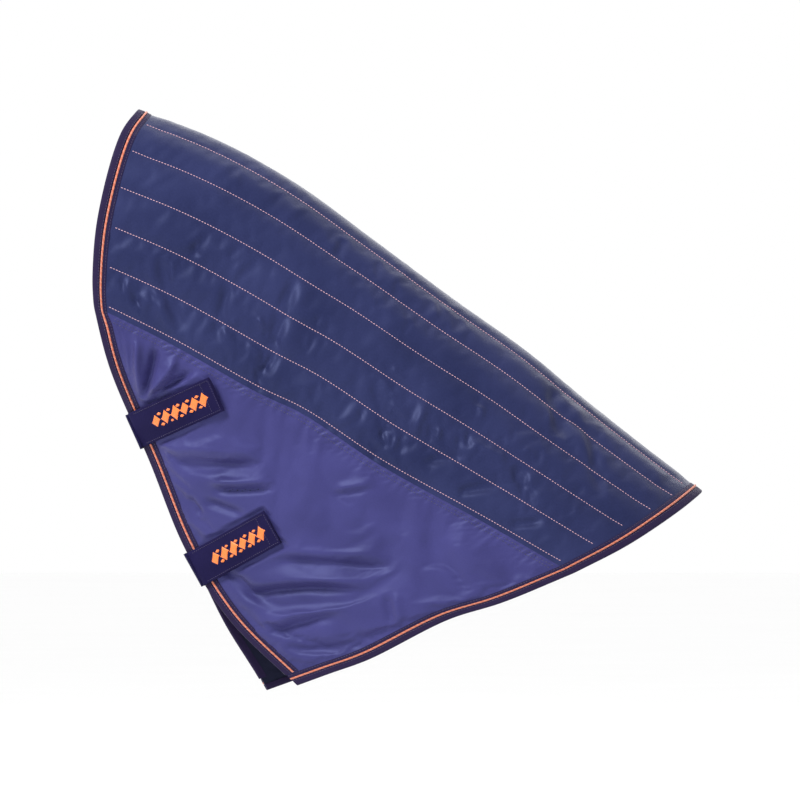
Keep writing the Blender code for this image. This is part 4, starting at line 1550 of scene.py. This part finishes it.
    def add_lozenge(self, bm: bmesh.types.BMesh, middle: float, offset: float, long: float, high: float,
                    lean: float) -> None:
        """Add one domed lozenge of satin stitches, whose threads run up and down it.

        Args:
            bm: The mesh that gets it.
            middle: Its middle, inwards from the throat edge.
            offset: Its middle, along the throat edge.
            long: Half its length inwards.
            high: Half its length along the throat edge.
            lean: How far its threads lean inwards.
        """
        threads = max(6, round(2 * long / 0.0009))
        count = 2 * threads + 1
        made = bmesh.ops.create_grid(bm, x_segments=count - 1, y_segments=6, size=1.0)
        top = self.line_on([(middle, offset), (middle + 0.001, offset)])
        base, normal = Vector(top[0][0]), Vector(top[1][0])
        inward = Vector((self.inward[0], 0, self.inward[1]))
        inward = (inward - normal * inward.dot(normal)).normalized()
        run = normal.cross(inward)
        for vert in made["verts"]:
            along, up = vert.co.x, vert.co.y
            number = round((along + 1) / 2 * (count - 1))
            reach = (1 - abs(along)) * high + 0.0006
            ridge = 0.00022 if number % 2 else -0.00012
            dome = 0.0009 * (1 - abs(along) ** 2) * (1 - up ** 4) + 0.0003
            spot = base + inward * along * long + run * up * reach + inward * up * lean
            low = 0.0007 if abs(up) > 0.99 else 0.0
            vert.co = spot + normal * (dome + ridge * (1 - up ** 2) - low)

    def build_folds(self) -> None:
        """Give the bridge under the throat the strap cloth, and build the soft rolls where it folds into
        root and tab.
        """
        bridge = frame["nodes"][f"{self.name}_bridge"]
        assign(bridge, STRAP_CLOTH)
        half = self.width / 2 - 0.0003
        for word, middle in (("root", self.root_fold), ("tab", self.tab_fold)):
            rings = []
            ends = [(-half, 0.2), (-half + 0.0002, 0.7), (-half + 0.0007, 1.0)]
            ends += [(q, 1.0) for q in np.linspace(-half, half, 9)[1:-1]]
            ends += [(-q, scale) for q, scale in reversed(ends[:3])]
            for q, scale in ends:
                centre = middle + self.across * q
                side_way = np.cross(self.across, [0.0, 1.0, 0.0])
                rings.append([centre + (side_way * math.cos(a) + np.array([0, 1, 0]) * math.sin(a))
                              * self.fold_radius * scale for a in np.arange(12) * math.pi / 6])
            bm = swept_mesh(np.array(rings), np.arange(12) * self.fold_radius * math.pi / 6)
            add_piece(f"{self.name}_{word}_fold", bm, STRAP_CLOTH, body=self.name)


def assign(node: bpy.types.Object, finish: object) -> None:
    """Give a CAD node a better material."""
    node.data.materials.clear()
    node.data.materials.append(look(finish))


# ---- the cover as a whole ------------------------------------------------------------------------------
LEFT_QUILT_FOLDS = [
    Fold((-0.196, 0.020), (-0.250, -0.136), -0.0042, 0.0085),
    Fold((-0.176, 0.020), (-0.232, -0.136), 0.0010, 0.0120),
    Fold((-0.378, 0.046), (-0.346, -0.052), -0.0034, 0.0075),
    Fold((-0.392, 0.036), (-0.362, -0.060), 0.0018, 0.0080),
    Fold((-0.286, 0.012), (-0.301, -0.062), -0.0030, 0.0065),
    Fold((-0.131, 0.073), (-0.140, 0.046), -0.0022, 0.0070),
    Fold((0.149, -0.130), (0.166, -0.193), -0.0034, 0.0085),
    Fold((0.176, -0.150), (0.196, -0.235), 0.0026, 0.0110),
    Fold((0.203, -0.190), (0.214, -0.265), -0.0026, 0.0080),
    Fold((0.099, -0.228), (0.122, -0.288), -0.0036, 0.0070),
    Fold((0.027, -0.265), (0.081, -0.255), -0.0036, 0.0060),
    Fold((-0.020, -0.225), (0.034, -0.216), -0.0026, 0.0060),
    Fold((0.095, -0.309), (0.135, -0.305), -0.0032, 0.0055),
    Fold((0.040, -0.200), (0.090, -0.222), 0.0024, 0.0080),
    Fold((-0.090, -0.120), (-0.070, -0.190), -0.0022, 0.0070),
    Fold((-0.020, -0.140), (-0.036, -0.200), 0.0020, 0.0080),
]
LEFT_PANEL_FOLDS = [
    Fold((-0.413, -0.140), (-0.431, -0.048), -0.0055, 0.0060, 0.004),
    Fold((-0.405, -0.140), (-0.408, -0.062), 0.0060, 0.0055),
    Fold((-0.398, -0.136), (-0.382, -0.070), -0.0055, 0.0060),
    Fold((-0.392, -0.134), (-0.352, -0.086), 0.0055, 0.0065),
    Fold((-0.385, -0.132), (-0.330, -0.104), -0.0050, 0.0060),
    Fold((-0.380, -0.128), (-0.310, -0.118), 0.0032, 0.0070),
    Fold((-0.372, -0.206), (-0.233, -0.217), 0.0046, 0.0120, 0.006),
    Fold((-0.366, -0.226), (-0.250, -0.232), -0.0034, 0.0100, 0.004),
    Fold((-0.306, -0.251), (-0.216, -0.251), 0.0036, 0.0080),
    Fold((-0.300, -0.262), (-0.222, -0.260), -0.0034, 0.0060),
    Fold((-0.338, -0.274), (-0.320, -0.298), -0.0040, 0.0060),
    Fold((-0.314, -0.278), (-0.260, -0.296), -0.0034, 0.0065),
    Fold((-0.144, -0.269), (-0.094, -0.261), -0.0020, 0.0050),
    Fold((-0.140, -0.262), (-0.086, -0.252), 0.0026, 0.0070),
    Fold((-0.220, -0.357), (-0.050, -0.372), -0.0046, 0.0090, 0.006),
    Fold((-0.216, -0.346), (-0.070, -0.352), 0.0030, 0.0110, 0.004),
    Fold((-0.270, -0.404), (-0.100, -0.396), -0.0048, 0.0085, 0.008),
    Fold((-0.265, -0.388), (-0.090, -0.384), 0.0034, 0.0100, 0.006),
    Fold((-0.234, -0.458), (-0.140, -0.430), -0.0046, 0.0080, 0.004),
    Fold((-0.228, -0.440), (-0.120, -0.416), 0.0036, 0.0100, 0.004),
    Fold((-0.071, -0.404), (-0.063, -0.446), -0.0022, 0.0055),
    Fold((-0.060, -0.400), (-0.052, -0.444), 0.0020, 0.0060),
    Fold((-0.206, -0.478), (-0.120, -0.478), -0.0030, 0.0080),
    Fold((-0.190, -0.200), (-0.060, -0.290), 0.0026, 0.0200),
    Fold((0.010, -0.330), (0.090, -0.385), 0.0026, 0.0150),
    Fold((-0.030, -0.320), (0.040, -0.400), -0.0026, 0.0120),
]


def seeded_folds(seed: int, count: int, low: float, high: float) -> list[Fold]:
    """Return folds for the right side: ridges and furrows, mostly slanting.

    Args:
        seed: Which folds to give.
        count: How many.
        low: The lowest start, over a line that slants down to the withers.
        high: The highest start over that line.

    Returns:
        The folds.
    """
    draw = random.Random(seed)
    folds = []
    for _ in range(count):
        x = draw.uniform(-0.40, 0.20)
        z = -0.62 * (x + 0.40) + draw.uniform(low, high)
        angle = draw.uniform(-1.9, 0.3)
        length = draw.uniform(0.04, 0.14)
        end = (x + length * math.cos(angle), z + length * math.sin(angle))
        height = draw.choice((-1, 1)) * draw.uniform(0.002, 0.0042)
        folds.append(Fold((x, z), end, height, draw.uniform(0.006, 0.012), draw.uniform(-0.005, 0.005)))
    return folds


def seeded_creases(seed: int, count: int) -> list[Fold]:
    """Return short sharp creases of the quilt, most of them close to upright and in loose clusters.

    Args:
        seed: Which creases to give.
        count: How many, in clusters of four.

    Returns:
        The creases.
    """
    draw = random.Random(seed)
    creases = []
    for _ in range(count // 4):
        x = draw.uniform(-0.42, 0.24)
        z = -0.62 * (x + 0.40) + draw.uniform(-0.06, 0.13)
        lean = draw.uniform(-2.1, -1.0)
        for _ in range(4):
            start = (x + draw.gauss(0, 0.016), z + draw.gauss(0, 0.014))
            angle = lean + draw.gauss(0, 0.3)
            length = draw.uniform(0.014, 0.044)
            end = (start[0] + length * math.cos(angle), start[1] + length * math.sin(angle))
            height = draw.choice((-1, 1, -1)) * draw.uniform(0.0010, 0.0030)
            width, bow = draw.uniform(0.0030, 0.0052), draw.uniform(-0.004, 0.004)
            creases.append(Fold(start, end, height, width, bow))
    return creases


class NeckCover:
    """The whole cover."""

    def build(self) -> None:
        """Build every piece."""
        panels, quilts = {}, {}
        for side in Side:
            left = side is Side.LEFT
            quilt = QuiltedSide(side, folds=LEFT_QUILT_FOLDS if left else seeded_folds(41, 16, -0.02, 0.14),
                                creases=seeded_creases(61 + side.value, 104))
            panel = ThroatPanel(side, folds=LEFT_PANEL_FOLDS if left else seeded_folds(43, 22, -0.28, -0.08))
            quilts[side], panels[side] = (quilt, quilt.build()), (panel, panel.build())
            self.sew_side(*quilts[side], *panels[side])
        for place in ("front", "hem"):
            EdgeTrim(place).build()
        for name, share in STRAP_SHARES.items():
            ThroatStrap(name, share).build()
        self.dress_nodes()

    def sew_side(self, quilt: QuiltedSide, shell: bpy.types.Object, panel: ThroatPanel,
                 cloth: bpy.types.Object) -> None:
        """Sew the quilting lines and the two rows below the seam of one side.

        Args:
            quilt: The quilted side.
            shell: Its built shell.
            panel: The throat panel.
            cloth: Its built cloth.
        """
        word = quilt.side.word
        ground = Ground([shell])
        stitches = bmesh.new()
        row = StitchRow()
        for line in quilt.lines:
            clear = np.minimum(quilt.place[line], FORM.row_length(quilt.s[line]) - quilt.place[line])
            keep = clear > FORM.band + 0.0006
            row.sew(stitches, quilt.shell[line][keep], quilt.normals[line][keep], ground)
        add_piece(f"quilting_stitches_{word}", stitches, QUILT_THREAD)
        ground = Ground([cloth])
        top = bmesh.new()
        fine = StitchRow(pitch=0.0044, length=0.0026, thickness=0.0010)
        for depth in (0.0055, 0.0115):
            rows = np.array([np.interp(depth, panel.down[:, c], np.arange(len(panel.down)))
                             for c in range(panel.down.shape[1])])
            low = rows.astype(int).clip(0, len(panel.down) - 2)
            share = (rows - low)[:, None]
            columns = np.arange(panel.down.shape[1])
            path = panel.base[low, columns] * (1 - share) + panel.base[low + 1, columns] * share
            keep = (panel.down[-1] > depth + FORM.band) & (panel.u[0] < 1 - FORM.band / FORM.seam.length)
            fine.sew(top, path[keep], panel.normals[low, columns][keep], ground)
        add_piece(f"seam_stitches_{word}", top, PANEL_THREAD)

    def dress_nodes(self) -> None:
        """Give the CAD nodes that stay their materials."""
        looks = {"tape": BINDING_TAPE, "pad": HOOK_AND_LOOP, "patch": HOOK_AND_LOOP}
        for name, node in frame["nodes"].items():
            for word, finish in looks.items():
                if word in name:
                    assign(node, finish)


class Studio:
    """The floor, the lights and the camera."""

    CENTRE = Vector((-0.054, 0.0, -0.143))
    FRAME_WIDTH = 1.080
    LENS = 600.0
    SENSOR = 36.0

    def build(self) -> None:
        """Build the studio."""
        self.floor()
        self.world()
        self.lights()
        self.camera()

    def floor(self) -> None:
        """Lay a wide, level, pale floor well below the cover."""
        bm = bmesh.new()
        bmesh.ops.create_grid(bm, x_segments=40, y_segments=40, size=30.0)
        for vert in bm.verts:
            vert.co.z = CAD_BOX[0][2] - 0.23
        mesh = mesh_of("studio_floor", bm)
        bench = NodeBench("studio_floor_look")
        grain = bench.noise(bench.object_place(), 3.0, 2.0)
        bench.shade(base_color=bench.mix(grain, colour(251, 251, 251), colour(254, 254, 254)), roughness=0.9)
        mesh.materials.append(bench.material)
        place_object("studio_floor", mesh)

    def world(self) -> None:
        """Set a white sky."""
        world = bpy.data.worlds.new("studio_white")
        world.use_nodes = True
        background = world.node_tree.nodes["Background"]
        background.inputs["Color"].default_value = (1.0, 1.0, 1.0, 1.0)
        background.inputs["Strength"].default_value = 1.0
        bpy.context.scene.world = world
        bpy.context.scene.view_settings.view_transform = "Standard"

    def lights(self) -> None:
        """Hang soft lights around the cover."""
        plan = [("key", (-1.9, -1.7, 2.1), 1.1, 170.0), ("fill", (2.6, -2.4, 0.3), 2.2, 22.0),
                ("top", (0.4, 0.6, 2.6), 1.6, 22.0), ("back", (0.6, 3.0, 1.2), 2.0, 24.0)]
        for name, place, size, power in plan:
            data = bpy.data.lights.new(f"studio_{name}", "AREA")
            data.shape = "SQUARE"
            data.size = size
            data.energy = power
            lamp = place_object(f"studio_{name}", data)
            lamp.location = place
            lamp.rotation_euler = (self.CENTRE - Vector(place)).to_track_quat("-Z", "Y").to_euler()

    def camera(self) -> None:
        """Stand the camera level, far off the left side."""
        data = bpy.data.cameras.new("studio_camera")
        data.lens = self.LENS
        data.sensor_width = self.SENSOR
        data.clip_end = 100.0
        camera = place_object("studio_camera", data)
        distance = self.FRAME_WIDTH * self.LENS / self.SENSOR
        camera.location = self.CENTRE + Vector((0.0, -distance, 0.0))
        camera.rotation_euler = (math.pi / 2, 0.0, 0.0)
        bpy.context.scene.camera = camera


def main() -> None:
    """Build the cover and its studio."""
    logging.basicConfig(level=logging.INFO, format="%(name)s: %(message)s")
    NeckCover().build()
    Studio().build()


if __name__ == "__main__":
    main()
